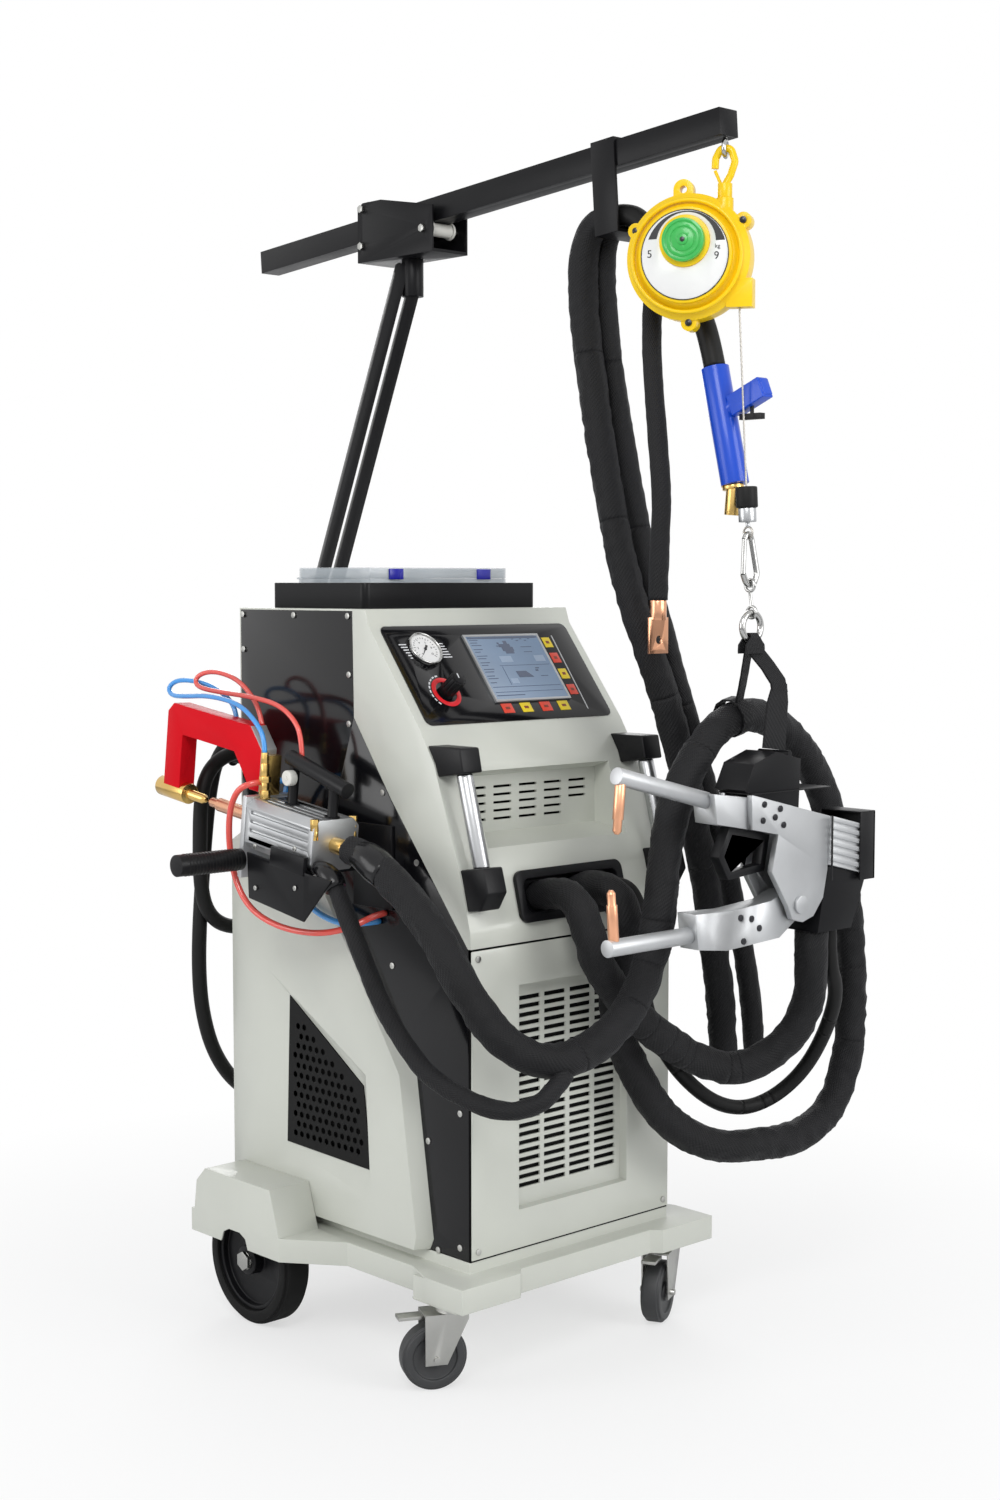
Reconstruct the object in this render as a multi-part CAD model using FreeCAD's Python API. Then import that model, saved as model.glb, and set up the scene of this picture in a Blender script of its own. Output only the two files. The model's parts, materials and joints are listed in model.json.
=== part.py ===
import FreeCAD, Part
import math
import os

# A dual-gun spot welding machine on wheels: X to its right, Y to its back, Z up, millimetres.
# The origin is on the floor under the middle of the base.

V = FreeCAD.Vector

# Shared clearances and small sizes
seat_gap = 0.3
run_fit = 0.05
overrun = 2
sheet = 2
wall = 4

# Base
base_front_y = -310
base_rear_y = 310
base_bottom_z = 132
base_top_z = 170
base_half = 274.5
waist_half = 252.5
fender_half = 320.5
pan_wall = 3
front_recess = 15
recess_half = 157
waist_front_y = -172
waist_rear_y = -16
caster_bay_y = -228
flare_y = 72
plinth_half = 217
plinth_front_y = -262
plinth_rear_y = 298
block_depth = 35

# Fenders and rear wheels
fender_inner = 241
fender_top_z = 243
fender_wall = 3
fender_corner = 24
wheel_y = 185
wheel_radius = 105
tyre_inner = 249
tyre_outer = 299
tyre_thickness = 22
hub_half = 27
hub_radius = 24
rim_web = 8
axle_radius = 10
axle_bracket_x = 225
axle_bracket_wall = 5
axle_bracket_half = 28
axle_nut_radius = 16
axle_nut_depth = 8
hub_notch_half = 37
hub_notch_rise = 24
hub_notch_y = 191
wheel_clearance = 10

# Casters
caster_x = 230
caster_y = -245
caster_wheel_radius = 50
caster_wheel_width = 32
caster_trail = 35
caster_plate_x = 85
caster_plate_y = 96
caster_plate_depth = 3
race_radius = 30
race_depth = 11.4
fork_gap = 20
fork_wall = 3
fork_width = 34
caster_bolt_radius = 5
bolt_head = 9
pedal_reach = 38
pedal_width = 24
pedal_depth = 5
left_trail_x = -0.89
left_trail_y = 0.45
right_trail_x = -0.90
right_trail_y = -0.44

# Cabinet
cabinet_front_y = -266
cabinet_rear_y = 301
cabinet_floor_z = 187
cabinet_top_z = 1157
cabinet_half = 217.5
shell_depth = 23
shell_half = cabinet_half + shell_depth
cabinet_depth = cabinet_rear_y - cabinet_front_y
cabinet_height = cabinet_top_z - cabinet_floor_z
post = 25
front_post_top_share = 0.46
grille_depth = 12
grille_sheet = 1.5
grille_pitch = 16
grille_hole = 11

# Outlines of the side, as shares of the cabinet's depth and height from its front foot
trim_outline_shares = [(0.9944, 1.0), (0.481, 1.0), (0.476, 0.829), (0.319, 0.704),
                       (0.011, 0.488), (0.009, 0.002), (0.9944, 0.002)]
shell_foot_shares = [(0.995, 0.622), (0.637, 0.632), (0.446, 0.472), (0.217, 0.280),
                     (0.148, 0.019), (0.161, 0.002), (0.995, 0.002)]
shell_face_shares = [(0.995, 0.608), (0.649, 0.618), (0.469, 0.466), (0.242, 0.275),
                     (0.175, 0.026), (0.184, 0.002), (0.995, 0.002)]
pocket_mouth_shares = [(0.827, 0.400), (0.384, 0.261), (0.363, 0.061), (0.840, 0.061)]
pocket_floor_shares = [(0.746, 0.359), (0.416, 0.238), (0.383, 0.103), (0.762, 0.109)]
front_profile_shares = [(0.481, 1.003), (0.427, 1.003), (0.411, 0.977), (0.201, 0.820),
                        (0.143, 0.766), (0.039, 0.597), (0.002, 0.515), (0.0, 0.488),
                        (0.0105, 0.488), (0.3185, 0.7045), (0.4755, 0.8295), (0.4805, 1.0)]
vent_recess_shares = [(0.187, 0.649), (0.187, 0.740), (0.134, 0.751), (-0.060, 0.751),
                      (-0.060, 0.627), (0.071, 0.635)]
recess_back_share = 0.187
console_top_shares = (0.411, 0.977)
console_foot_shares = (0.201, 0.820)
trim_screw_shares = [(0.984, 0.992), (0.742, 0.992), (0.500, 0.992), (0.981, 0.933), (0.495, 0.898),
                     (0.496, 0.819), (0.353, 0.714), (0.213, 0.610), (0.315, 0.440), (0.040, 0.231),
                     (0.168, 0.174), (0.129, 0.005), (0.041, 0.020)]

# Front vents of the upper moulding
vent_half = 150
vent_slot_width = 38
vent_slot_height = 4
vent_columns = 5
vent_column_pitch = 54.5
vent_rows = 5
vent_row_pitch = 12.5
vent_first_z = 834

# Lower front panel
panel_inset = 2.7
panel_half = cabinet_half - panel_inset
panel_bottom_z = 190
panel_top_z = 657
panel_sheet = 3
panel_pan_half = 121
panel_pan_bottom_z = 247
panel_pan_top_z = 598
panel_pan_depth = 16
panel_slot_columns = 4
panel_slot_rows = 23
panel_slot_width = 46
panel_slot_height = 7
panel_slot_pitch_x = 55
panel_slot_pitch_z = 13.2
panel_slot_first_z = 277

# Rear cover and air inlet
rear_sheet = 3
inlet_x = 120
inlet_z = 260
inlet_bore = 5.9
inlet_outer = 11
inlet_depth = 18
cable_gland_x = 60
cable_gland_z = 260
cable_gland_radius = 22
cable_gland_depth = 20
rear_slot_rows = 12
rear_slot_half = 60
rear_slot_height = 5
rear_slot_pitch = 15
rear_slot_first_z = 420

# Console
console_half = 200
console_sheet = 2
console_margin = 3
console_corner = 12
console_opening_half = 186
console_opening_margin = 14
gauge_x = -132
gauge_s = 50
gauge_radius = 30
gauge_proud = 5
gauge_depth = 28
gauge_fit = 27
knob_x = -131
knob_s = 131
knob_radius = 13
knob_height = 36
knob_collar_radius = 27
knob_collar_inner = 19
knob_shaft_radius = 5
screen_left = -41
screen_right = 124
screen_top_s = 24.5
screen_foot_s = 155
screen_proud = 3
screen_depth = 26
screen_lip = 4
screen_corner = 6
key_width = 18
key_height = 20
key_proud = 0.8
key_column_x = 139
key_column_s = [41.8, 73.1, 105.2, 136.7]
key_row_s = 167
key_row_x = [-22, 18.5, 61.7, 101.5]
key_row_width = 23
key_row_height = 18

# Hose outlet
outlet_half = 115
outlet_height = 80
outlet_corner = 15
outlet_proud = 8
outlet_inset = 14
outlet_sleeve = 40
outlet_wall = 3
outlet_floor = 12.1
outlet_head_shares = (0.039, 0.597)
outlet_foot_shares = (0.002, 0.515)

# Grab handles
handle_x = 196
handle_tube = 12.5
handle_bracket_half = 20
handle_top_shares = (0.067, 0.757)
handle_foot_shares = (-0.007, 0.600)
handle_upper_shares = [(0.205, 0.794), (0.046, 0.794), (0.032, 0.756), (0.205, 0.740)]
handle_lower_shares = [(0.063, 0.606), (-0.044, 0.615), (-0.063, 0.577), (-0.034, 0.549), (0.063, 0.541)]

# Inner units
inverter_half_x = 140
inverter_front_y = -150
inverter_rear_y = 120
inverter_height = 215
tank_half_x = 120
tank_front_y = -200
tank_rear_y = 200
tank_height = 180
tank_lift = 25

# Tool tray and parts box
tray_half = 186
tray_front_y = 15
tray_rear_y = 255
tray_height = 41
cover_sheet = 3
box_half = 147
box_front_y = 48
box_rear_y = 233
box_height = 46
box_wall = 2
lid_height = 17
latch_x = 95
latch_half = 14
latch_depth = 4
latch_height = 19
hinge_radius = 4
hinge_pin = 1.5

# Mast
mast_y = 327
socket_radius = 24
pin_radius = 17
socket_bottom_z = 760
socket_top_z = 1161
pin_bottom_z = 850
saddle_half = 40
saddle_height = 30
saddle_low_z = 800
saddle_high_z = 1120
flange_x = 90
flange_y = 60
flange_depth = 15
lean_angle = -24
leg = 20
leg_rear_foot = -32.4
leg_front_foot = -3.5
leg_rear_head = 127.3
leg_front_head = 143.1
leg_foot_z = 1165
leg_rear_head_z = 1750
leg_front_head_z = 1695
sleeve_reach = 144.9
sleeve_radius = 19
boom_pin_radius = 15
sleeve_bottom_z = 1694
sleeve_top_z = 1757.7

# Boom bracket, beam and cable hanger
bracket_left_x = 92
bracket_right_x = 172
bracket_sheet = 3
bracket_bottom_z = 1758
bracket_bottom_sheet = 5
bracket_front_y = 170
bracket_rear_y = 368
bracket_height = 102
bracket_top_z = bracket_bottom_z + bracket_height
bracket_chamfer = 14
bracket_flat = 49
bracket_front_drop = 25
bracket_front_z = bracket_top_z - bracket_front_drop
far_front_drop = 35
far_front_z = bracket_top_z - far_front_drop
beam_x = 130
beam_side = 40
beam_wall = 2.5
beam_rear_y = 674
beam_rear_z = 1794
beam_front_y = -452
beam_front_z = 1879
roller_radius = 11.5
roller_flange = 14.5
roller_flange_depth = 4
roller_bolt = 4
roller_head = 7
roller_head_depth = 5
roller_side_gap = 0.8
roller_rear_y = 357
roller_front_y = 195
eye_y = -446
eye_drop = 16.6
eye_radius = 12
eye_wire = 3.5
hanger_y = -216
hanger_width = 50
hanger_sheet = 5
hanger_drop = 121
hanger_clip = 25
hanger_shelf = 82
hanger_lip = 11

# Balancer
balancer_x = 103
balancer_y = -401
balancer_z = 1684
balancer_turn = -60
balancer_radius = 93.5
balancer_half = 35
balancer_face_radius = 70
balancer_back_radius = 80
balancer_step = 12
ear_a = -8.5
ear_c = 100
ear_radius = 15
ear_hole = 5.5
lug_radius = 12
lug_hole = 3
lug_places_share = [(-0.861, 0.449), (0.877, 0.545), (0.011, -1.03)]
lug_half = 9
spout_a = 84
spout_half = 13
spout_top_c = -34
spout_foot_c = -76
collar_radius = 11
collar_c = 85
collar_height = 21
hook_a = 52.5
hook_rod = 5.5
hook_path_shares = [(0.0, 0.0), (0.55, 0.25), (1.0, 0.62), (0.60, 0.97), (-0.40, 1.0), (-0.95, 0.72),
                    (-1.0, 0.45)]
hook_half = 15
hook_rise = 54.35
latch_bar = 2.5
dial_radius = 66
dial_depth = 1.2
tension_radius = 31.5
tension_c = 20
tension_height = 13
tension_seat_radius = 38
tension_seat_height = 4
tension_shaft = 6
tension_shaft_depth = 14

# Rope, bumper, snap hook and sling
rope_top = (141, -467, 1604)
rope_ring = (150, -488, 1135)
rope_radius = 1.6
bumper_radius = 16.5
bumper_share = (0.555, 0.622)
ferrule_radius = 13.5
ferrule_share = (0.622, 0.667)
rope_tip_share = 0.694
rope_hidden_share = -0.04
rope_eye_radius = 8.5
snap_half_top = 8
snap_half_foot = 16
snap_wire = 4.5
snap_bend = 6
snap_share = (0.705, 0.866)
ring_wire = 5
ring_radius = 21
link_wire = 2.5
link_radius = 8.5
link_barrel = 5

# Sling of webbing
sling_foot = (190, -500, 949.6)
sling_front = (205, -497, 1046)
sling_head = (156, -489, 1100)
sling_hose_foot = (197, -425, 1018)
sling_hose_head = (148, -484, 1100)
sling_wide_half = 26
sling_narrow_half = 14
sling_hose_half = 12
sling_thick = 4
sling_thin = 3
sling_foot_across = (1, 0, -0.12)
sling_head_across = (1, 0, 0.5)
sling_hose_across = (1, 0.2, 0.3)
fold_half = 22
fold_bridge_half = 8
fold_depth = 13
hose_loop_centre = (204, -406.5, 994)
hose_loop_axis = (1, 0.06, 0.2)
hose_loop_slack = 3.5
hose_loop_wire = 3

# Blow gun, earth lug
pull_top = (165, -398, 1526)
pull_foot = (165, -440.5, 1349)
pull_chuck = (165, -436, 1303)
pull_radius = 21.5
chuck_radius = 13
pull_grip = (165, -494, 1491)
pull_grip_root = (165, -425, 1462)
grip_radius = 12
trigger_width = 12
trigger_length = 40
trigger_depth = 9
lug_foot = (115, -330, 1113)
lug_head = (115, -330, 1174)
lug_blade_width = 42
lug_blade_depth = 4
lug_bolt_bore = 6.5
lug_barrel = 13

# X-gun, in its own upright plane
xgun_y = -500
xgun_cheek_inner = 22
xgun_cheek_outer = 32
xgun_jaw_half = 18
xgun_arm_radius = 12.5
xgun_tip_radius = 8
xgun_pivot = (217, 713)
xgun_pivot_radius = 8
xgun_pivot_head = 14
xgun_pivot_head_depth = 5
xgun_plate = [(103, 888), (289, 843), (283, 761), (273, 718), (250, 692), (224, 685), (200, 692),
              (190, 712), (151, 768), (165, 824), (105, 836)]
xgun_clamp = [(30, 893), (38, 848), (105, 836), (165, 824), (168, 868), (103, 884)]
xgun_upper_arm = [(38, 882), (-153, 930)]
xgun_upper_tip = [(-144.6, 915.4), (-151.5, 847)]
xgun_jaw_plate = [(78, 716), (66, 658), (186, 664), (236, 694), (241, 713), (232, 731), (205, 735), (165, 722)]
xgun_lower_clamp = [(-4, 719), (3, 666), (66, 658), (78, 716)]
xgun_lower_arm = [(0, 686), (-170, 686)]
xgun_lower_tip = [(-157, 698.8), (-162.7, 769)]
xgun_handle = [(172, 822), (105, 835.7), (80, 840.2), (56, 797), (78, 761), (160, 768)]
xgun_handle_bar = 11
xgun_handle_half = 9
xgun_body = [(289.3, 843), (390, 819), (382, 744), (283.8, 768)]
xgun_body_half = 38
xgun_fins = 6
xgun_fin_depth = 3
xgun_cover = [(288, 766.6), (283.5, 761), (273.6, 717.5), (262, 664), (345, 664), (380, 744.1)]
xgun_cover_half = 31
xgun_block = [(90, 895), (110, 933), (161, 949), (218, 935), (214, 861.5), (103, 888.4)]
xgun_block_half = 30
hanger_eye = [(192, 944), (192, 957)]
screw_radius = 5
screw_head = 2
xgun_screws = [(131, 872), (168, 863), (156, 851), (128, 848), (176, 838)]
xgun_jaw_screws = [(95, 704), (120, 700), (138, 684), (102, 668)]

# C-gun, lying along Y with its tips to the rear
cgun_x = -300
cgun_rear_y = -51
cgun_rear_z = 804
cgun_tilt = 7.5
cgun_length = 170
cgun_half_x = 44
cgun_half_z = 40
cgun_edge = 12
cgun_fins = 4
cgun_fin_width = 5
cgun_fin_depth = 4
cgun_bore = 30
cgun_piston_depth = 20
cgun_piston_y = 60
cgun_stroke_room = 45
cgun_ram_radius = 11
cgun_ram_head_y = 300
cgun_tip_y = 327
cgun_tip_radius = 8
cgun_gap = 10.5
cgun_plate_depth = 10
cgun_plate_half = 45
cgun_plate_foot = -87
cgun_plate_head = 43
cgun_holder_y = 385
cgun_holder_end = 462
cgun_holder_radius = 17
cgun_arm_half = 15
cgun_arm_outline = [(180.3, 46), (180.3, 114), (212, 146), (425, 146), (440, 131), (440, 4), (396, 4),
                    (396, 98), (252, 98), (222, 66), (206, 46)]
cgun_brass_head = 106
cgun_brass_depth = 14
cgun_stud_radius = 13
cgun_stud_length = 37
cgun_handle_radius = 12
cgun_handle_front = (124, 112)
cgun_handle_rear = (-20, 88)
cgun_handle_post_front = 112
cgun_handle_post_rear = 12
cgun_post_radius = 8
cgun_grip_radius = 17
cgun_grip_length = 120
cgun_grip_z = -58
cradle_plate_front_y = -92
cradle_plate_rear_y = 2
cradle_plate_foot_z = 700
cradle_plate_head_z = 830
cradle_sheet = 5
cradle_front = 4
cradle_rear = 88
cradle_lip = 24
cradle_cheek = [(-107, 760), (-38, 690), (100, 712), (104, 784), (-60, 763)]
cradle_cheek_x = -352

# Hoses and cables: radii and the points of their routes
sleeve_wide = 22
sleeve_gun = 22
sleeve_second = 12
rubber_radius = 12
hanger_wide = 20
hanger_mid = 15
earth_radius = 13
pull_hose_radius = 17
air_tube_radius = 5
mains_radius = 12.5

main_sleeve = [(-300, -88.1, 799.1), (-300, -117.8, 795.2), (-300, -146, 784), (-300, -184, 764), (-298, -234, 732),
               (-296, -287, 680), (-290, -327, 626), (-257, -352, 560), (-220, -385, 519), (-159, -407, 506),
               (-86, -417, 528), (-17, -422, 589), (15, -422, 668), (30, -421, 757), (51, -416, 846),
               (96, -415, 925), (163, -410, 983), (246, -405, 1001), (332, -404, 970), (401, -406, 907),
               (449, -405, 822), (482, -406, 729), (505, -405, 626), (514, -404, 508), (504, -405, 408),
               (465, -401, 325), (380, -394, 293), (291, -384, 299), (208, -364, 306), (140, -338, 348),
               (94, -314, 421), (62, -299, 505), (46, -306, 574), (33, -334, 622), (26, -352, 672),
               (24, -340, 720), (23, -298, 738), (23, -243, 723)]
second_sleeve = [(-331, -47, 771), (-331, -68, 768.2), (-331, -92, 746), (-329, -116, 700), (-324, -148, 640),
                 (-315, -180, 576), (-307, -222, 523), (-301, -266, 486), (-290, -326, 462),
                 (-266, -384, 446), (-222, -424, 446), (-176, -446, 462)]
gun_sleeve = [(-62, -243, 723), (-62, -298, 738), (-62, -340, 719), (-57, -354, 672), (-36, -352, 620),
              (26, -360, 552), (96, -372, 492), (164, -388, 452), (206, -412, 438), (250, -440, 456),
              (284, -466, 492), (298, -487, 545), (286, -500, 604), (286, -500, 663.6)]
rubber_hose = [(76, -243, 723), (77, -284, 734), (81, -310, 724), (87, -322, 692), (94, -320, 644),
               (102, -311, 590), (120, -308, 520), (152, -322, 450), (198, -342, 395), (252, -352, 362),
               (310, -360, 352), (362, -380, 372), (388, -415, 420), (392, -452, 491), (370, -486, 556),
               (329, -500, 608), (329, -500, 663.6)]
rear_wide_hose = [(131, -216, 1772), (131, -186, 1772), (130, -160, 1750), (128, -151, 1705), (126, -155, 1630),
                  (124, -174, 1530), (121, -198, 1425), (120, -228, 1300), (122, -256, 1200), (136, -284, 1110),
                  (165, -300, 1020), (200, -304, 921), (236, -303, 810), (264, -302, 710), (286, -302, 600),
                  (302, -303, 500), (308, -304, 405)]
rear_mid_hose = [(167, -216, 1766), (167, -188, 1766), (168, -166, 1744), (168, -159, 1700), (168, -166, 1610),
                 (168, -186, 1510), (168, -208, 1410), (168, -236, 1300), (170, -262, 1200), (182, -284, 1110),
                 (214, -298, 1000), (256, -303, 885), (296, -304, 780), (330, -303, 680), (358, -304, 580),
                 (378, -304, 490), (386, -305, 400)]
pull_hose = [(131, -216.3, 1772), (131, -248, 1772), (133, -278, 1755), (139, -308, 1716), (148, -336, 1672),
             (157, -362, 1630), (164, -384, 1584), (165, -398, 1526.6)]
earth_cable = [(167, -216.3, 1766), (167, -250, 1766), (166, -274, 1744), (160, -281, 1704), (147, -287, 1650),
               (131, -297, 1590), (120, -312, 1510), (115, -328, 1415), (114, -338, 1325), (115, -331, 1240),
               (115, -330, 1174.3)]
air_tube_routes = [
    [(-284.7, 112, 890), (-268, 112, 890), (-254, 128, 876), (-248, 148, 842), (-247.8, 154, 797),
     (-247.8, 146, 752), (-248, 120, 716), (-251, 78, 692), (-255, 30, 678), (-253, -16, 673),
     (-240, -56, 679), (-218.8, -58, 680)],
    [(-315.3, 112, 890), (-332, 112, 890), (-344, 136, 880), (-344, 158, 848), (-342, 165, 804),
     (-340, 160, 758), (-338, 145, 719), (-334, 116, 689), (-327, 74, 672), (-316, 26, 664),
     (-297, -20, 664), (-270, -56, 676), (-241, -71, 692), (-218.8, -72, 694)]]
mains_route = [(60, 321.3, 260), (60, 344, 260), (48, 366, 262), (16, 380, 267), (-40, 386, 276),
               (-105, 389, 298), (-172, 391, 340), (-217, 391, 402), (-240, 390, 478), (-246, 389, 555),
               (-243, 388, 635), (-236, 388, 715), (-229, 388, 785), (-220, 388, 850), (-205, 389, 904),
               (-170, 388, 940), (-115, 384, 945)]
mains_coil_right = -58
mains_coil_left = -262
mains_coil_top_z = 920
mains_coil_foot_z = 614
mains_coil_pitch = 28
mains_coil_y = 378
mains_coil_turns = 1
mains_end_x = -122
mains_end_z = 790
plug_radius = 26
plug_length = 95
plug_pin_radius = 4
plug_pin_length = 22
plug_pin_ring = 13
peg_x = -160
peg_z = 900
peg_radius = 7
peg_end_y = 402
peg_lip = 12


def box(x0, x1, y0, y1, z0, z1):
    return Part.makeBox(x1 - x0, y1 - y0, z1 - z0, V(x0, y0, z0))


def face_of(points):
    return Part.Face(Part.makePolygon(points + [points[0]]))


def slab_x(outline, x0, x1):
    """A (y, z) outline drawn out along X."""
    return face_of([V(x0, y, z) for y, z in outline]).extrude(V(x1 - x0, 0, 0))


def slab_y(outline, y0, y1):
    """An (x, z) outline drawn out along Y."""
    return face_of([V(x, y0, z) for x, z in outline]).extrude(V(0, y1 - y0, 0))


def slab_z(outline, z0, z1):
    """An (x, y) outline drawn out along Z."""
    return face_of([V(x, y, z0) for x, y in outline]).extrude(V(0, 0, z1 - z0))


def loft_x(outline_a, xa, outline_b, xb):
    """A ruled solid between two (y, z) outlines at two X places."""
    loops = []
    for outline, x in ((outline_a, xa), (outline_b, xb)):
        points = [V(x, y, z) for y, z in outline]
        loops.append(Part.makePolygon(points + [points[0]]))
    return Part.makeLoft(loops, True, True)


def rod(start, end, radius):
    start = V(*start)
    along = V(*end) - start
    return Part.makeCylinder(radius, along.Length, start, along)


def pipe(start, end, outer, inner):
    return rod(start, end, outer).cut(rod(start, end, inner))


def hexagon(start, end, radius):
    """A six-sided bar between two places, with the given radius over its corners."""
    start = V(*start)
    along = V(*end) - start
    turn = FreeCAD.Rotation(V(0, 0, 1), along)
    corners = [start + turn.multVec(V(radius * math.cos(k * math.pi / 3), radius * math.sin(k * math.pi / 3), 0))
               for k in range(6)]
    return face_of(corners).extrude(along)


def inset(outline, distance):
    """The outline with each edge moved inwards, the corners where the moved edges meet."""
    area = sum(a[0] * b[1] - b[0] * a[1] for a, b in zip(outline, outline[1:] + outline[:1]))
    side = 1 if area > 0 else -1
    edges = []
    for a, b in zip(outline, outline[1:] + outline[:1]):
        length = math.hypot(b[0] - a[0], b[1] - a[1])
        normal = (-(b[1] - a[1]) / length * side, (b[0] - a[0]) / length * side)
        edges.append((normal, normal[0] * a[0] + normal[1] * a[1] + distance))
    moved = []
    for (n, c), (m, d) in zip(edges[-1:] + edges[:-1], edges):
        cross = n[0] * m[1] - n[1] * m[0]
        moved.append(((c * m[1] - d * n[1]) / cross, (n[0] * d - m[0] * c) / cross))
    return moved


def rounded_edges(points, radii, closed):
    """Straight runs between the points, joined by a tangent arc of its own radius at each point."""
    count = len(points)
    marks = []
    for k, point in enumerate(points):
        if not closed and k in (0, count - 1):
            marks.append((point, None, point))
            continue
        before = (points[k - 1] - point).normalize()
        after = (points[(k + 1) % count] - point).normalize()
        half_open = before.getAngle(after) / 2
        if radii[k] == 0 or half_open > math.radians(89.9):
            marks.append((point, None, point))
            continue
        reach = radii[k] / math.tan(half_open)
        middle = (before + after).normalize() * (radii[k] / math.sin(half_open) - radii[k])
        marks.append((point + before * reach, point + middle, point + after * reach))
    edges = []
    for k, (first, middle, last) in enumerate(marks):
        if middle is not None:
            edges.append(Part.Arc(first, middle, last).toShape())
        if k < count - 1 or closed:
            following = marks[(k + 1) % count][0]
            if (following - last).Length > 1e-6:
                edges.append(Part.LineSegment(last, following).toShape())
    return edges


def rounded_outline(points, radius):
    return Part.Face(Part.Wire(rounded_edges(points, [radius] * len(points), True)))


def rounded_box(half_x, half_y, radius, z0, z1):
    """An upright box about the Z axis with round upright edges."""
    corners = [V(-half_x, -half_y, z0), V(half_x, -half_y, z0), V(half_x, half_y, z0), V(-half_x, half_y, z0)]
    return rounded_outline(corners, radius).extrude(V(0, 0, z1 - z0))


def soft_tube(name, route, radius):
    """A hose along straight runs joined by arcs as large as the runs allow."""
    points = [V(*p) for p in route]
    radii = [0] * len(points)
    for k in range(1, len(points) - 1):
        before = points[k] - points[k - 1]
        after = points[k + 1] - points[k]
        half_turn = before.getAngle(after) / 2
        shorter = min(before.Length, after.Length)
        radii[k] = 0.45 * shorter / math.tan(half_turn)
    path = Part.Wire(rounded_edges(points, radii, False))
    start = Part.Wire(Part.makeCircle(radius, points[0], points[1] - points[0]))
    solid = path.makePipeShell([start], True, False)
    expected = math.pi * radius * radius * path.Length
    print(name, "length", round(path.Length), "volume ratio", round(solid.Volume / expected, 4),
          "radii", [round(r) for r in radii[1:-1]], "least radius in diameters",
          round(min(radii[1:-1]) / radius / 2, 2))
    return solid


def mirrored(shape):
    return shape.mirror(V(0, 0, 0), V(1, 0, 0))


def pair(shape):
    return [shape, mirrored(shape)]


def turned(shape, centre, axis, degrees):
    copy = shape.copy()
    copy.rotate(V(*centre), V(*axis), degrees)
    return copy


def shifted(shape, x, y, z):
    copy = shape.copy()
    copy.translate(V(x, y, z))
    return copy


def fuse(first, *others):
    solid = first
    for other in others:
        solid = solid.fuse(other)
    return solid.removeSplitter()


def cut(solid, *others):
    for other in others:
        solid = solid.cut(other)
    return solid


def group(shapes):
    return Part.makeCompound(list(shapes))


def side(share):
    """A place on the cabinet's side from its shares of the depth and the height."""
    return (cabinet_front_y + share[0] * cabinet_depth, cabinet_floor_z + share[1] * cabinet_height)


def side_outline(shares):
    return [side(share) for share in shares]


console_top = side(console_top_shares)
console_foot = side(console_foot_shares)
console_length = math.hypot(console_top[0] - console_foot[0], console_top[1] - console_foot[1])
console_angle = math.degrees(math.atan2(console_top[1] - console_foot[1], console_top[0] - console_foot[0]))


def on_console(shape):
    """From the console's own frame (x, up its slope, out of its face) to its place."""
    return shifted(turned(shape, (0, 0, 0), (1, 0, 0), console_angle), 0, console_top[0], console_top[1])


outlet_head = side(outlet_head_shares)
outlet_foot = side(outlet_foot_shares)
outlet_mid = ((outlet_head[0] + outlet_foot[0]) / 2, (outlet_head[1] + outlet_foot[1]) / 2)
outlet_tilt = math.degrees(math.atan2(outlet_head[1] - outlet_foot[1], outlet_head[0] - outlet_foot[0]))


def on_outlet(shape):
    """From the outlet's own frame (x, up its face, out of its face) to its place."""
    return shifted(turned(shape, (0, 0, 0), (1, 0, 0), outlet_tilt), 0, outlet_mid[0], outlet_mid[1])

# Base


def base_outline():
    half = [(recess_half, base_front_y), (base_half, base_front_y), (base_half, caster_bay_y),
            (waist_half, waist_front_y), (waist_half, waist_rear_y), (fender_half, flare_y),
            (fender_half, base_rear_y)]
    left = [(-x, y) for x, y in reversed(half)]
    front_y = base_front_y + front_recess
    return half + left + [(-recess_half + front_recess, front_y), (recess_half - front_recess, front_y)]


def fender_outline():
    rear = base_rear_y - pan_wall
    lean = fender_corner / 2
    return [(flare_y, base_bottom_z), (flare_y, base_top_z), (flare_y + fender_corner, fender_top_z),
            (rear - fender_corner - lean, fender_top_z), (rear - lean, fender_top_z - fender_corner),
            (rear, base_bottom_z)]


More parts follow.
